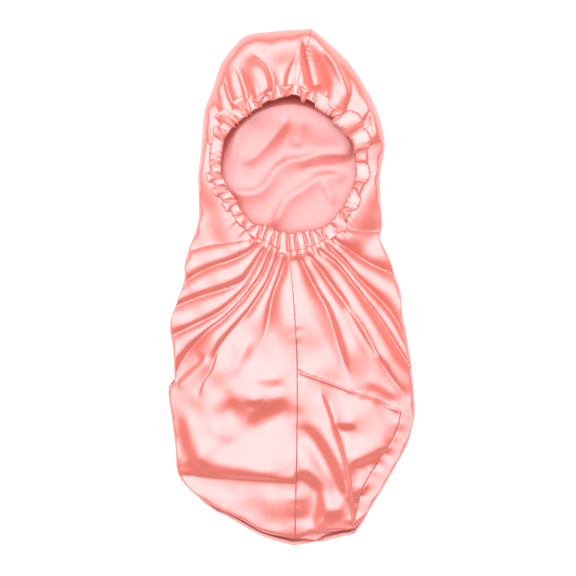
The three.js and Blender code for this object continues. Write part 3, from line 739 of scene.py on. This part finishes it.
class Surface:
    """The heights of the bonnet's cloth as it lies."""

    def __init__(self) -> None:
        """Draws the outline, the gathers and the seams."""
        outline, setback = outline_points()
        self.outline = np.vstack([outline, outline[:1]])
        upper = inset(outline, setback)
        self.upper_outline = np.vstack([upper, upper[:1]])
        self.setback = np.append(setback, setback[0])
        self.gathers = (
            Lobes(count=64, height=1.6, reach=7.0, seed=4),
            Lobes(count=34, height=0.8, reach=14.0, seed=9),
        )
        self.ripples = Ripples(height=0.45, length=50.0)
        self.crumple = Ripples(height=0.4, length=34.0, seed=6)
        self.seams = (
            Seam(CENTRE_SEAM, depth=0.08, width=0.8, pucker=0.3, seed=3),
            Seam(CROSS_SEAM, depth=0.6, seed=5),
            Seam(SIDE_SEAM, pucker=0.7, seed=7),
            Seam(CROWN_SEAM, pucker=0.2, seed=8),
        )

    def casing(self, name: str, ring: Array) -> Array:
        """Reads a column of the casing's table at angles."""
        return eased_lookup(CASING, "ring", name, ring % 360.0)

    def collar(self, ring: Array) -> tuple[Array, Array]:
        """Finds where the panels leave the casing.

        Args:
            ring: Angles of the opening.

        Returns:
            The radius and the height there.
        """
        half = self.casing("width", ring) / 2 + COLLAR_GAP
        tilt = np.radians(self.casing("tilt", ring))
        radius = self.casing("radius", ring) + half * np.cos(tilt)
        return radius, self.casing("height", ring) + half * np.sin(tilt)

    def panel_start(self, ring: Array) -> tuple[Array, Array]:
        """Finds where the panels start, tucked under the casing.

        Args:
            ring: Angles of the opening.

        Returns:
            The places' x and y.
        """
        radius, _ = self.collar(ring)
        turn = np.radians(ring)
        return RING_X + (radius - TUCK) * np.cos(turn), RING_Y + (radius - TUCK) * np.sin(turn)

    def upper(self, x: Array, y: Array, ring: Array) -> Array:
        """Gives the height of the upper panels' outer face.

        Args:
            x: The points' x.
            y: The points' y.
            ring: The angle at which each point's cloth is gathered.

        Returns:
            Heights in millimetres.
        """
        height, roll, share = (eased_lookup(LOFT, "y", name, y) for name in ("height", "roll", "share"))
        radius, level = self.collar(ring_angle(x, y))
        out = np.hypot(x - RING_X, y - RING_Y) - radius
        near = smooth(out / COLLAR_REACH)
        tuck = TUCK_DROP * (1 - smooth((out + TUCK) / (TUCK + COLLAR_GAP)))
        away, along = distance_to_path(x, y, self.upper_outline)
        depth = np.where((away < 0) & (away > -OVERHANG), 0.0, np.abs(away))
        uneven = self.crumple.relief(along, EDGE_DRIFT * depth) * np.minimum(1, EVEN_ROLL / roll)
        edge = (1 - (1 - np.minimum(1, depth / (roll * np.exp(uneven)))) ** ROLL_POWER) ** 0.5
        far_in = nearness(x, y, self.upper_outline[::DOME_STEPS]).away
        dome = share + (1 - share) * smooth(far_in / DOME_REACH)
        bottom = EDGE_HEIGHT + EDGE_GAP
        lift = self.hem_lift(along) * (1 - smooth(depth / HEM_REACH))
        raised = (mix(level, height, near) - bottom) * mix(1.0, dome, near) - tuck
        raised = raised + self.gathered(ring, out) + self.folded(x, y)
        return bottom + lift + np.maximum(raised - lift, LEAST_LOFT) * edge

    def gathered(self, ring: Array, out: Array) -> Array:
        """Gives the gathers' height at angles of the opening and distances from the casing."""
        share = eased_lookup(GATHERING, "ring", "share", ring % 360.0)
        return share * sum(gather.relief(ring, np.maximum(out, 0)) for gather in self.gathers)

    def folded(self, x: Array, y: Array) -> Array:
        """Adds up the upper panels' folds, ripples and seams.

        Args:
            x: The points' x.
            y: The points' y.

        Returns:
            Millimetres to add to the surface.
        """
        fans = Fan(NECK_FAN).relief(x, y) * smooth((NECK_FAN_TOP - y) / FAN_FADE)
        fans = fans + Fan(CROWN_FAN).relief(x, y) * smooth((y - CROWN_FAN_FOOT) / FAN_FADE)
        forms = (*BAG_FOLDS, *CROWN_FOLDS, *BAG_STEPS, self.ripples, *self.seams)
        return fans + sum(form.relief(x, y) for form in forms)

    @staticmethod
    def onto(outline: Array, x: Array, y: Array, reach: float = OVERHANG) -> tuple[Array, Array]:
        """Moves places that lie close to an outline to the nearest ones on it.

        Args:
            outline: The outline's points.
            x: The places' x.
            y: The places' y.
            reach: How far off the outline a place may lie, in millimetres.

        Returns:
            The moved places' x and y.
        """
        along = distance_to_path(x, y, outline)[1]
        on_x, on_y = (np.interp(along, run_along(outline), outline[:, k]) for k in (0, 1))
        close = np.hypot(on_x - x, on_y - y) < reach
        return np.where(close, on_x, x), np.where(close, on_y, y)

    def hem_lift(self, along: Array) -> Array:
        """Gives how much higher the front hem lies than the side folds, by the way along the outline."""
        setback = np.interp(along, run_along(self.upper_outline), self.setback)
        return HEM_LIFT * smooth(setback / HEM_LIFT)

    def back(self, x: Array, y: Array) -> Array:
        """Gives the height of the back panel's outer, lower face.

        Args:
            x: The points' x.
            y: The points' y.

        Returns:
            Heights in millimetres.
        """
        away, along = distance_to_path(x, y, self.outline)
        folded = 1 - self.hem_lift(along) / HEM_LIFT
        top = mix(EDGE_HEIGHT - EDGE_GAP, EDGE_HEIGHT + BACK_OVERLAP, folded)
        tuck = BACK_TUCK * folded
        edge = np.sqrt(1 - (1 - np.clip((np.abs(away) - tuck) / top, 0, 1)) ** 2)
        folds = sum(form.relief(x, y) for form in (*BACK_FOLDS, *BACK_STEPS))
        seen = 1 - smooth((np.hypot(x - RING_X, y - RING_Y) - SEEN_RADIUS) / SEEN_FADE)
        shown = self.hem_lift(along) * np.exp(-(((np.abs(away) - LIP_WIDTH) / LIP_WIDTH) ** 2))
        base = BACK_BASE + BACK_TILT * (y - RING_Y)
        return top * (1 - edge) + np.maximum(folds + base, 0) * seen + shown


class SatinWeave:
    """The shared node group that gives satin its fine uneven threads and its slight change of shade."""

    NAME = "satin_weave"
    THREADS = (1300.0, 45.0, 1300.0)
    STREAKS = (430.0, 20.0, 430.0)
    STREAK_SHARE = 0.5
    THREAD_DETAIL = 3.0
    CLOUDS = 26.0
    CLOUD_DETAIL = 2.0

    def group(self) -> bpy.types.NodeTree:
        """Builds the group, or finds it if it is there.

        Returns:
            The group, with the outputs Height, Gloss and Shade.
        """
        if self.NAME in bpy.data.node_groups:
            return bpy.data.node_groups[self.NAME]
        tree = bpy.data.node_groups.new(self.NAME, "ShaderNodeTree")
        for name in ("Height", "Gloss", "Shade"):
            tree.interface.new_socket(name=name, in_out="OUTPUT", socket_type="NodeSocketFloat")
        out = tree.nodes.new("NodeGroupOutput")
        place = tree.nodes.new("ShaderNodeTexCoord")
        threads = self.stretched_noise(tree, place, self.THREADS)
        streaks = self.stretched_noise(tree, place, self.STREAKS)
        both = tree.nodes.new("ShaderNodeMix")
        both.inputs["Factor"].default_value = self.STREAK_SHARE
        tree.links.new(threads.outputs["Fac"], both.inputs["A"])
        tree.links.new(streaks.outputs["Fac"], both.inputs["B"])
        clouds = tree.nodes.new("ShaderNodeTexNoise")
        clouds.inputs["Scale"].default_value = self.CLOUDS
        clouds.inputs["Detail"].default_value = self.CLOUD_DETAIL
        tree.links.new(place.outputs["Object"], clouds.inputs["Vector"])
        tree.links.new(both.outputs["Result"], out.inputs["Height"])
        tree.links.new(streaks.outputs["Fac"], out.inputs["Gloss"])
        tree.links.new(clouds.outputs["Fac"], out.inputs["Shade"])
        return tree

    def stretched_noise(
        self, tree: bpy.types.NodeTree, place: bpy.types.Node, scale: tuple[float, float, float]
    ) -> bpy.types.Node:
        """Adds noise drawn out along the cloth's length.

        Args:
            tree: The group to add it to.
            place: The node that gives the place on the object.
            scale: How often it changes each way, per metre.

        Returns:
            The noise node.
        """
        stretch = tree.nodes.new("ShaderNodeMapping")
        stretch.inputs["Scale"].default_value = scale
        tree.links.new(place.outputs["Object"], stretch.inputs["Vector"])
        noise = tree.nodes.new("ShaderNodeTexNoise")
        noise.inputs["Scale"].default_value = 1.0
        noise.inputs["Detail"].default_value = self.THREAD_DETAIL
        tree.links.new(stretch.outputs["Vector"], noise.inputs["Vector"])
        return noise


@dataclass(frozen=True)
class Finish:
    """The colour and gloss of one kind of satin or thread, or of a copy of the satin painted paler to stand for
    the light that falls on it.
    """

    name: str
    colour: tuple[float, float, float]
    roughness: float
    reflectance: float = 2.65
    thread_height: float = 0.14
    shade_change: float = 0.12
    gloss_change: float = 0.05

    def material(self) -> bpy.types.Material:
        """Builds the finish.

        Returns:
            Its material.
        """
        made = bpy.data.materials.new(self.name)
        made.use_nodes = True
        tree = made.node_tree
        shader = tree.nodes["Principled BSDF"]
        shader.inputs["IOR"].default_value = self.reflectance
        weave = tree.nodes.new("ShaderNodeGroup")
        weave.node_tree = SatinWeave().group()
        self.dye(tree, weave, shader)
        self.gloss(tree, weave, shader)
        bump = tree.nodes.new("ShaderNodeBump")
        bump.inputs["Distance"].default_value = self.thread_height * MM
        tree.links.new(weave.outputs["Height"], bump.inputs["Height"])
        tree.links.new(bump.outputs["Normal"], shader.inputs["Normal"])
        return made

    def dye(self, tree: bpy.types.NodeTree, weave: bpy.types.Node, shader: bpy.types.Node) -> None:
        """Links the cloth's colour, a little deeper and lighter from place to place.

        Args:
            tree: The material's nodes.
            weave: The node that holds the weave.
            shader: The node that it feeds.
        """
        tint = tree.nodes.new("ShaderNodeMix")
        tint.data_type = "RGBA"
        deep = [c * (1 - self.shade_change) for c in self.colour]
        light = [min(1.0, c * (1 + self.shade_change)) for c in self.colour]
        tint.inputs["A"].default_value = (*deep, 1.0)
        tint.inputs["B"].default_value = (*light, 1.0)
        tree.links.new(weave.outputs["Shade"], tint.inputs["Factor"])
        tree.links.new(tint.outputs["Result"], shader.inputs["Base Color"])

    def gloss(self, tree: bpy.types.NodeTree, weave: bpy.types.Node, shader: bpy.types.Node) -> None:
        """Links the roughness, which changes a little from thread to thread.

        Args:
            tree: The material's nodes.
            weave: The node that holds the weave.
            shader: The node that it feeds.
        """
        spread = tree.nodes.new("ShaderNodeMapRange")
        spread.inputs["To Min"].default_value = self.roughness - self.gloss_change
        spread.inputs["To Max"].default_value = self.roughness + self.gloss_change
        tree.links.new(weave.outputs["Gloss"], spread.inputs["Value"])
        tree.links.new(spread.outputs["Result"], shader.inputs["Roughness"])


@dataclass
class Panel:
    """One panel of cloth, a thin wall over a grid of places."""

    name: str
    x: Array
    y: Array
    z: Array
    below: bool
    flat: tuple[float, float]
    area: float
    slot: str
    held: str = "gathered"

    def normals(self) -> Array:
        """Finds which way the outer face looks, from the grid itself.

        Returns:
            The upward normal at each place.
        """
        p = np.stack([self.x, self.y, self.z], -1)
        du = np.gradient(p, axis=0)
        dv = np.gradient(p, axis=1)
        n = np.cross(du, dv)
        n /= np.linalg.norm(n, axis=-1, keepdims=True) + TINY
        return np.where(n[..., 2:] < 0, -n, n)

    def build(self, material: bpy.types.Material) -> bpy.types.Object:
        """Args:
            material: The cloth's finish.

        Returns:
            The finished piece.
        """
        outer = np.stack([self.x, self.y, self.z], -1)
        inner = outer + self.normals() * (-WALL if self.below else WALL)
        m, n = self.x.shape
        points = np.concatenate([outer.reshape(-1, 3), inner.reshape(-1, 3)])
        index = np.arange(m * n).reshape(m, n)
        a, b, c, d = index[:-1, :-1], index[1:, :-1], index[1:, 1:], index[:-1, 1:]
        top = np.stack([a, b, c, d], -1).reshape(-1, 4)
        faces = [top, top[:, ::-1] + m * n]
        ring = np.concatenate([index[:, 0], index[-1, 1:], index[-2::-1, -1], index[0, -2:0:-1]])
        after = np.roll(ring, -1)
        faces.append(np.stack([after, ring, ring + m * n, after + m * n], -1))
        faces = np.concatenate(faces)
        made = mesh_object(self.name, points, faces, material, 2 * len(top))
        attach(made, ROOT)
        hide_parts(self.name)
        LOG.info("%s: %d faces", self.name, len(faces))
        return made


def mesh_object(
    name: str, points: Array, faces: Array, material: bpy.types.Material, smooth_faces: int | None = None
) -> bpy.types.Object:
    """Makes a mesh object with its faces pointing out.

    Args:
        name: The piece's name.
        points: Places in millimetres, one row each.
        faces: Four corners for each face.
        material: Its finish.
        smooth_faces: How many of the first faces are shaded smooth, all of them if left out.

    Returns:
        The object, in the scene.
    """
    p = points[faces]
    volume = np.einsum("ij,ij->i", p[:, 0], np.cross(p[:, 1], p[:, 2])).sum()
    volume += np.einsum("ij,ij->i", p[:, 0], np.cross(p[:, 2], p[:, 3])).sum()
    if volume < 0:
        faces = faces[:, ::-1]
    mesh = bpy.data.meshes.new(name)
    mesh.vertices.add(len(points))
    mesh.vertices.foreach_set("co", (points * MM).astype(np.float32).ravel())
    mesh.loops.add(faces.size)
    mesh.loops.foreach_set("vertex_index", faces.astype(np.int32).ravel())
    mesh.polygons.add(len(faces))
    mesh.polygons.foreach_set("loop_start", np.arange(0, faces.size, 4, dtype=np.int32))
    mesh.update(calc_edges=True)
    mesh.polygons.foreach_set("use_smooth", np.arange(len(faces)) < (smooth_faces or len(faces)))
    mesh.materials.append(material)
    made = bpy.data.objects.new(name, mesh)
    bpy.context.scene.collection.objects.link(made)
    return made


def crowd(count: int) -> Array:
    """Spreads places from 0 to 1, closer together towards 1."""
    return 1 - (1 - np.linspace(0, 1, count)) ** EDGE_CROWDING


def seam_x(y: Array) -> Array:
    """Gives the front centre seam's x."""
    path = path_of(CENTRE_SEAM, CENTRE_STEPS)
    return np.interp(-y, -path[:, 1], path[:, 0])


@dataclass
class Panels:
    """All of the bonnet's cloth panels, each laid out as a grid of ribs or rows and the places along them."""

    surface: Surface
    left_ribs: int = 330
    left_bent: int = 40
    right_ribs: int = 280
    right_bent: int = 30
    rib_places: int = 120
    lower_grid: tuple[int, int] = (130, 90)
    side_grid: tuple[int, int] = (110, 40)
    back_grid: tuple[int, int] = (230, 130)
    back_skips: int = 3  # rows of the outline's tables at the crown's top, which the bow follows

    def ribs(self, ring: Array, to: Array) -> tuple[Array, Array, Array]:
        """Runs a rib from the casing to the outline at each column.

        Args:
            ring: Each rib's angle at the casing.
            to: Each rib's end, moved onto the outline where it lies close to it.

        Returns:
            The places' x and y and the ribs' angles, a row for each rib.
        """
        start_x, start_y = self.surface.panel_start(ring)
        v = crowd(self.rib_places)[None, :]
        x = mix(start_x[:, None], to[:, :1], v)
        y = mix(start_y[:, None], to[:, 1:], v)
        return x, y, np.broadcast_to(ring[:, None], x.shape)

    @staticmethod
    def bend_to_seam(x: Array, y: Array, ribs: int) -> None:
        """Bends a panel's first ribs so that the first one follows the front centre seam.

        Args:
            x: The places' x, which are changed.
            y: The places' y.
            ribs: How many ribs are bent.
        """
        straight = x[0].copy()
        for k in range(ribs):
            share = smooth(np.array(1 - k / ribs))
            x[k] += share * (seam_x(y[k]) - np.interp(-y[k], -y[0], straight))

    def left(self) -> Panel:
        """Lays out the left panel, from the crown seam round the left to the front centre seam.

        Returns:
            The panel, ready to build.
        """
        names = ("x", "y", "ring", "setback")
        edge = curve_through(LEFT_EDGE, names, np.linspace(0, 1, self.left_ribs))
        to = np.stack([edge["x"], edge["y"]], 1)
        to = to + leftward(to) * edge["setback"][:, None]
        to = np.stack(self.surface.onto(self.surface.upper_outline, to[:, 0], to[:, 1]), 1)
        to[-1] = (CENTRE_SEAM[-1]["x"], CENTRE_SEAM[-1]["y"])
        x, y, ring = self.ribs(edge["ring"], to)
        self.bend_to_seam(x[::-1], y[::-1], self.left_bent)
        x[-1] -= SEAM_GAP / 2
        x[0] -= SEAM_GAP / 2
        z = self.surface.upper(x, y, ring)
        return Panel("left_panel", x, y, z, below=True, flat=(0.36, 0.68), area=0.088, slot="satin")

    def right(self) -> Panel:
        """Lays out the right panel, from the centre seam over the cross seam to the crown seam.

        Returns:
            The panel, ready to build.
        """
        table = [*CROSS_SEAM, *RIGHT_EDGE]
        edge = curve_through(table, ("x", "y", "ring"), np.linspace(0, 1, self.right_ribs))
        to = np.stack(self.surface.onto(self.surface.upper_outline, edge["x"], edge["y"]), 1)
        x, y, ring = self.ribs(edge["ring"], to)
        self.bend_to_seam(x, y, self.right_bent)
        x[0] += SEAM_GAP / 2
        x[-1] += SEAM_GAP / 2
        z = self.surface.upper(x, y, ring)
        return Panel("right_panel", x, y, z, below=True, flat=(0.30, 0.50), area=0.056, slot="satin")

    def lower(self) -> Panel:
        """Lays out the lower right panel, between the centre, cross and side seams and the hem.

        Returns:
            The panel, ready to build.
        """
        v = np.linspace(0, 1, self.lower_grid[0])[:, None]
        u = np.linspace(0, 1, self.lower_grid[1])[None, :]
        names = ("x", "y")
        top = curve_through(CROSS_SEAM, names, u)
        hem = curve_through(LOWER_HEM, names, u)
        side = curve_through(SIDE_SEAM, names, v)
        left_y = mix(CROSS_SEAM[0]["y"], CENTRE_SEAM[-1]["y"], v)
        left = {"x": seam_x(left_y), "y": left_y}
        place = {}
        for name in names:
            corner = (1 - u) * (1 - v) * CROSS_SEAM[0][name] + u * (1 - v) * CROSS_SEAM[-1][name]
            corner = corner + (1 - u) * v * LOWER_HEM[0][name] + u * v * LOWER_HEM[-1][name]
            sides = (1 - v) * top[name] + v * hem[name] + (1 - u) * left[name] + u * side[name]
            place[name] = sides - corner
        x = place["x"] + mix(SEAM_GAP, -SEAM_GAP, u) / 2
        y = place["y"] - (1 - v) * SEAM_GAP
        z = self.surface.upper(x, y, ring_angle(x, y))
        return Panel("lower_right_panel", x, y, z, below=True, flat=(0.15, 0.24), area=0.022, slot="satin")

    def side(self) -> Panel:
        """Lays out the narrow side panel, between the side seam and the outline.

        Returns:
            The panel, ready to build.
        """
        v = np.linspace(0, 1, self.side_grid[0])
        seam, edge = (curve_through(table, ("x", "y"), v) for table in (SIDE_SEAM, SIDE_EDGE))
        outline = self.surface.upper_outline
        edge_x, edge_y = self.surface.onto(outline, edge["x"], edge["y"], reach=SIDE_REACH)
        u = crowd(self.side_grid[1])[None, :]
        x = mix(seam["x"][:, None] + SEAM_GAP / 2, edge_x[:, None], u)
        y = mix(seam["y"][:, None], edge_y[:, None], u)
        y[0] -= SEAM_GAP
        z = self.surface.upper(x, y, ring_angle(x, y))
        return Panel("side_panel", x, y, z, below=True, flat=(0.06, 0.18), area=0.0055, slot="satin")

    def tucked_in(self, table: Table, shares: Array, inwards: float) -> dict[str, Array]:
        """Draws the back panel's edge, hidden under the side fold but not along the open hem.

        Args:
            table: The outline's rows.
            shares: Places along it.
            inwards: 1 where the bonnet is on the curve's left, or -1.

        Returns:
            The edge's x and y.
        """
        edge = curve_through(with_setback(table), ("x", "y", "setback"), shares)
        left = leftward(np.stack([edge["x"], edge["y"]], 1))
        tuck = BACK_TUCK * (1 - smooth(edge["setback"] / BACK_TUCK)) * inwards
        on_x, on_y = self.surface.onto(self.surface.outline, edge["x"], edge["y"])
        return {"x": on_x + left[:, 0] * tuck, "y": on_y + left[:, 1] * tuck}

    def back(self) -> Panel:
        """Lays out the back panel, crosswise from the left edge to the right edge.

        Returns:
            The panel, ready to build.
        """
        v = np.linspace(0, 1, self.back_grid[0])
        left = self.tucked_in(LEFT_EDGE[self.back_skips:], v, 1.0)
        right = self.tucked_in(RIGHT_SIDE[::-1][:-self.back_skips], v, -1.0)
        s = np.linspace(-1, 1, self.back_grid[1])[None, :]
        u = 0.5 + 0.5 * np.sign(s) * (1 - (1 - np.abs(s)) ** BACK_CROWDING)
        x = mix(left["x"][:, None], right["x"][:, None], u)
        y = mix(left["y"][:, None], right["y"][:, None], u)
        outline = self.surface.outline
        crown = outline[outline[:, 1] > BOW_FROM_Y]
        crown = crown[np.argsort(crown[:, 0])]
        bow = np.interp(x[0], crown[:, 0], crown[:, 1]) - BACK_TUCK - y[0]
        y = y + np.maximum(bow, 0)[None, :] * (1 - smooth(v / BOW_SHARE))[:, None]
        z = self.surface.back(x, y)
        return Panel(
            "back_panel", x, y, z, below=False, flat=(0.32, 0.66), area=0.165, slot="satin_inside", held="laid"
        )


@dataclass
class ElasticCasing:
    """The gathered casing round the opening: a cinched tube of satin over the elastic."""

    surface: Surface
    steps: int = 1440
    sides: int = 24
    flatness: float = 0.5
    pinch: float = 0.45
    narrowing: float = 0.8
    slant: float = 0.2
    fullness: float = 0.5
    frill: float = 0.6
    pleats: tuple[int, int] = (83, 13)
    ride_up: float = 0.3

    def build(self, material: bpy.types.Material) -> bpy.types.Object:
        """Makes the casing's mesh.

        Args:
            material: Its finish.

        Returns:
            The finished piece.
        """
        starts = column(PUFFS, "start")
        ring = np.linspace(starts[0], starts[-1], self.steps, endpoint=False)[:, None]
        around = np.linspace(0, 2 * np.pi, self.sides, endpoint=False)[None, :]
        slant = self.slant * np.interp(ring, starts, column(PUFFS, "twist"))
        at = starts[0] + (ring + slant * np.cos(around) - starts[0]) % 360.0
        i = np.clip(np.searchsorted(starts, at, side="right") - 1, 0, len(starts) - 2)
        t = (at - starts[i]) / (starts[i + 1] - starts[i])
        lobe = np.sin(np.pi * np.clip(t, 0, 1))
        full = lobe**self.fullness
        width = column(PUFFS, "width")[i] * mix(self.narrowing, 1.0, full)
        thick = column(PUFFS, "thick")[i] * mix(self.pinch, 1.0, full)
        shift = column(PUFFS, "shift")[i] * lobe
        tilt = np.radians(self.surface.casing("tilt", ring) + column(PUFFS, "twist")[i] * lobe)
        across = np.sign(np.cos(around)) * np.abs(np.cos(around)) ** self.flatness * width / 2
        up = np.sign(np.sin(around)) * np.abs(np.sin(around)) ** self.flatness * thick / 2
        fine, coarse = self.pleats
        pleats = np.sin(np.radians(at) * fine) * np.sin(np.radians(at) * coarse + 1)
        up = up + self.frill * pleats * np.cos(around)
        middle = self.surface.casing("radius", ring) + shift
        out = middle + across * np.cos(tilt) - up * np.sin(tilt)
        z = self.surface.casing("height", ring) + self.ride_up * thick
        z = z + across * np.sin(tilt) + up * np.cos(tilt)
        turn = np.radians(ring)
        points = np.stack([RING_X + out * np.cos(turn), RING_Y + out * np.sin(turn), z], -1)
        index = np.arange(self.steps * self.sides).reshape(self.steps, self.sides)
        ahead = np.roll(index, -1, 0)
        faces = np.stack([index, ahead, np.roll(ahead, -1, 1), np.roll(index, -1, 1)], -1)
        made = mesh_object("elastic_casing", points.reshape(-1, 3), faces.reshape(-1, 4), material)
        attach(made, ROOT)
        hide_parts("elastic_casing")
        LOG.info("elastic_casing: %d faces", self.steps * self.sides)
        return made


@dataclass
class Stitching:
    """Sewing thread along a seam: one stitch, modelled once and copied."""

    surface: Surface
    material: bpy.types.Material
    length: float = 2.5
    thickness: float = 0.55
    pitch: float = 3.7
    proud: float = 0.1
    ahead: float = 1.0

    def stitch(self) -> bpy.types.Object:
        """Models one stitch, a short thread with rounded ends along X.

        Returns:
            The stitch, to be copied.
        """
        bpy.ops.object.select_all(action="DESELECT")
        bpy.ops.mesh.primitive_uv_sphere_add(segments=8, ring_count=6, radius=0.5)
        made = bpy.context.object
        made.scale = (self.length * MM, self.thickness * MM, self.thickness * MM)
        bpy.ops.object.transform_apply(location=False, rotation=False, scale=True)
        bpy.ops.object.shade_smooth()
        made.data.materials.append(self.material)
        return made

    def build(self, name: str, table: Table, aside: float) -> bpy.types.Object:
        """Copies the stitch along a seam and joins the copies.

        Args:
            name: The piece's name.
            table: The seam's places.
            aside: How far to the seam's left the stitches run, in millimetres.

        Returns:
            The finished piece.
        """
        path = path_of(table, STITCH_STEPS * len(table))
        run = run_along(path)
        at = np.arange(self.pitch, run[-1] - self.pitch, self.pitch)
        x, y = (np.interp(at, run, path[:, k]) for k in (0, 1))
        ahead_x, ahead_y = (np.interp(at + self.ahead, run, path[:, k]) for k in (0, 1))
        heading = np.arctan2(ahead_y - y, ahead_x - x)
        x, ahead_x = (v - aside * np.sin(heading) for v in (x, ahead_x))
        y, ahead_y = (v + aside * np.cos(heading) for v in (y, ahead_y))
        z = self.surface.upper(x, y, ring_angle(x, y)) + self.proud
        ahead_z = self.surface.upper(ahead_x, ahead_y, ring_angle(ahead_x, ahead_y)) + self.proud
        slope = np.arctan2(ahead_z - z, self.ahead)
        first = self.stitch()
        copies = []
        for px, py, pz, turn, tip in zip(x, y, z, heading, slope):
            copy = first.copy()
            copy.data = first.data.copy()
            copy.location = (px * MM, py * MM, pz * MM)
            copy.rotation_euler = (0.0, -tip, turn)
            bpy.context.scene.collection.objects.link(copy)
            copies.append(copy)
        bpy.data.objects.remove(first)
        bpy.ops.object.select_all(action="DESELECT")
        for copy in copies:
            copy.select_set(True)
        bpy.context.view_layer.objects.active = copies[0]
        bpy.ops.object.join()
        made = bpy.context.object
        bpy.ops.object.transform_apply(location=True, rotation=True, scale=True)
        made.name = name
        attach(made, ROOT)
        LOG.info("%s: %d stitches", name, len(copies))
        return made


@dataclass(frozen=True)
class Lamp:
    """A square soft light, with its place and side in millimetres and its power in watts."""

    name: str
    place: tuple[float, float, float]
    side: float
    power: float
    colour: tuple[float, float, float] = (1.0, 0.935, 1.0)

    def hang(self) -> None:
        """Hangs the lamp so that it faces the bonnet."""
        lamp = bpy.data.lights.new(self.name, "AREA")
        lamp.size = self.side * MM
        lamp.energy = self.power
        lamp.color = self.colour
        made = bpy.data.objects.new(self.name, lamp)
        x, y, z = self.place
        made.location = (x * MM, y * MM, z * MM)
        made.rotation_euler = (math.atan2(math.hypot(x, y), z), 0.0, math.atan2(x, -y))
        bpy.context.scene.collection.objects.link(made)


@dataclass
class Studio:
    """The plain pale floor, the soft lights and the camera straight above."""

    lamps: tuple[Lamp, ...] = (
        Lamp("key", (-150, 650, 2850), 3000, 52.0),
        Lamp("fill", (-150, 700, 2950), 5400, 144.0),
    )
    floor_side: float = 8000.0
    floor_drop: float = 0.3
    floor_tone: float = 0.93
    floor_roughness: float = 0.9
    floor_glow: float = 0.3
    camera_height: float = 2600.0
    cloth_height: float = 25.0
    frame_width: float = 691.2
    centre_x: float = -4.2
    centre_y: float = 0.0
    sensor: float = 36.0
    room_light: float = 0.15
    skirt_light: float = 0.95
    skirt_top: float = 0.42

    def build(self) -> None:
        """Makes the floor, lights, surroundings and camera."""
        self.floor()
        for lamp in self.lamps:
            lamp.hang()
        self.surroundings()
        self.camera()

    def floor(self) -> None:
        """Lays the floor, a little under the bonnet."""
        place = (0, 0, -self.floor_drop * MM)
        bpy.ops.mesh.primitive_plane_add(size=self.floor_side * MM, location=place)
        floor = bpy.context.object
        floor.name = "floor"
        made = bpy.data.materials.new("white_paper")
        made.use_nodes = True
        shader = made.node_tree.nodes["Principled BSDF"]
        shader.inputs["Base Color"].default_value = (self.floor_tone,) * 3 + (1,)
        shader.inputs["Roughness"].default_value = self.floor_roughness
        shader.inputs["Emission Color"].default_value = (1, 1, 1, 1)
        shader.inputs["Emission Strength"].default_value = self.floor_glow
        floor.data.materials.append(made)

    def surroundings(self) -> None:
        """Sets the light of the room, bright low down all round and dim overhead."""
        world = bpy.data.worlds.new("white_room")
        world.use_nodes = True
        tree = world.node_tree
        place = tree.nodes.new("ShaderNodeTexCoord")
        parts = tree.nodes.new("ShaderNodeSeparateXYZ")
        spread = tree.nodes.new("ShaderNodeMapRange")
        spread.interpolation_type = "SMOOTHSTEP"
        spread.inputs["From Max"].default_value = self.skirt_top
        spread.inputs["To Min"].default_value = self.skirt_light
        spread.inputs["To Max"].default_value = self.room_light
        tree.links.new(place.outputs["Generated"], parts.inputs["Vector"])
        tree.links.new(parts.outputs["Z"], spread.inputs["Value"])
        tree.links.new(spread.outputs["Result"], tree.nodes["Background"].inputs["Strength"])
        tree.nodes["Background"].inputs["Color"].default_value = (1, 1, 1, 1)
        bpy.context.scene.world = world
        bpy.context.scene.view_settings.view_transform = "Standard"

    def camera(self) -> None:
        """Hangs the camera straight above, with the crown at the top of the picture."""
        lens = bpy.data.cameras.new("camera")
        lens.sensor_width = self.sensor
        lens.lens = self.sensor * (self.camera_height - self.cloth_height) / self.frame_width
        made = bpy.data.objects.new("camera", lens)
        made.location = (self.centre_x * MM, self.centre_y * MM, self.camera_height * MM)
        bpy.context.scene.collection.objects.link(made)
        bpy.context.scene.camera = made


def main() -> None:
    """Builds the bonnet and its studio."""
    logging.basicConfig(level=logging.INFO, format="%(name)s %(message)s")
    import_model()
    satin = Finish("pink_satin", (0.785, 0.16, 0.11), roughness=0.33).material()
    inside = Finish("pink_satin_inside", (0.78, 0.18, 0.145), roughness=0.42, reflectance=2.4).material()
    # Painted light: the casing's satin is a paler copy of the panels' satin, its paler colour standing for the
    # light that falls on the casing's upward faces.
    gathered = Finish("gathered_satin_painted_paler", (0.8, 0.19, 0.14), roughness=0.3).material()
    thread = Finish("sewing_thread", (0.72, 0.2, 0.16), roughness=0.5, reflectance=1.6).material()
    surface = Surface()
    panels = Panels(surface)
    for make in (panels.left, panels.right, panels.lower, panels.side):
        make().build(satin)
    panels.back().build(inside)
    ElasticCasing(surface).build(gathered)
    stitching = Stitching(surface, thread)
    stitching.build("centre_seam_stitches", CENTRE_SEAM, aside=-0.9)
    stitching.build("cross_seam_stitches", CROSS_SEAM, aside=2.2)
    stitching.build("side_seam_stitches", SIDE_SEAM, aside=-0.9)
    stitching.build("crown_seam_stitches", CROWN_SEAM, aside=0.9)
    Studio().build()


if __name__ == "__main__":
    main()
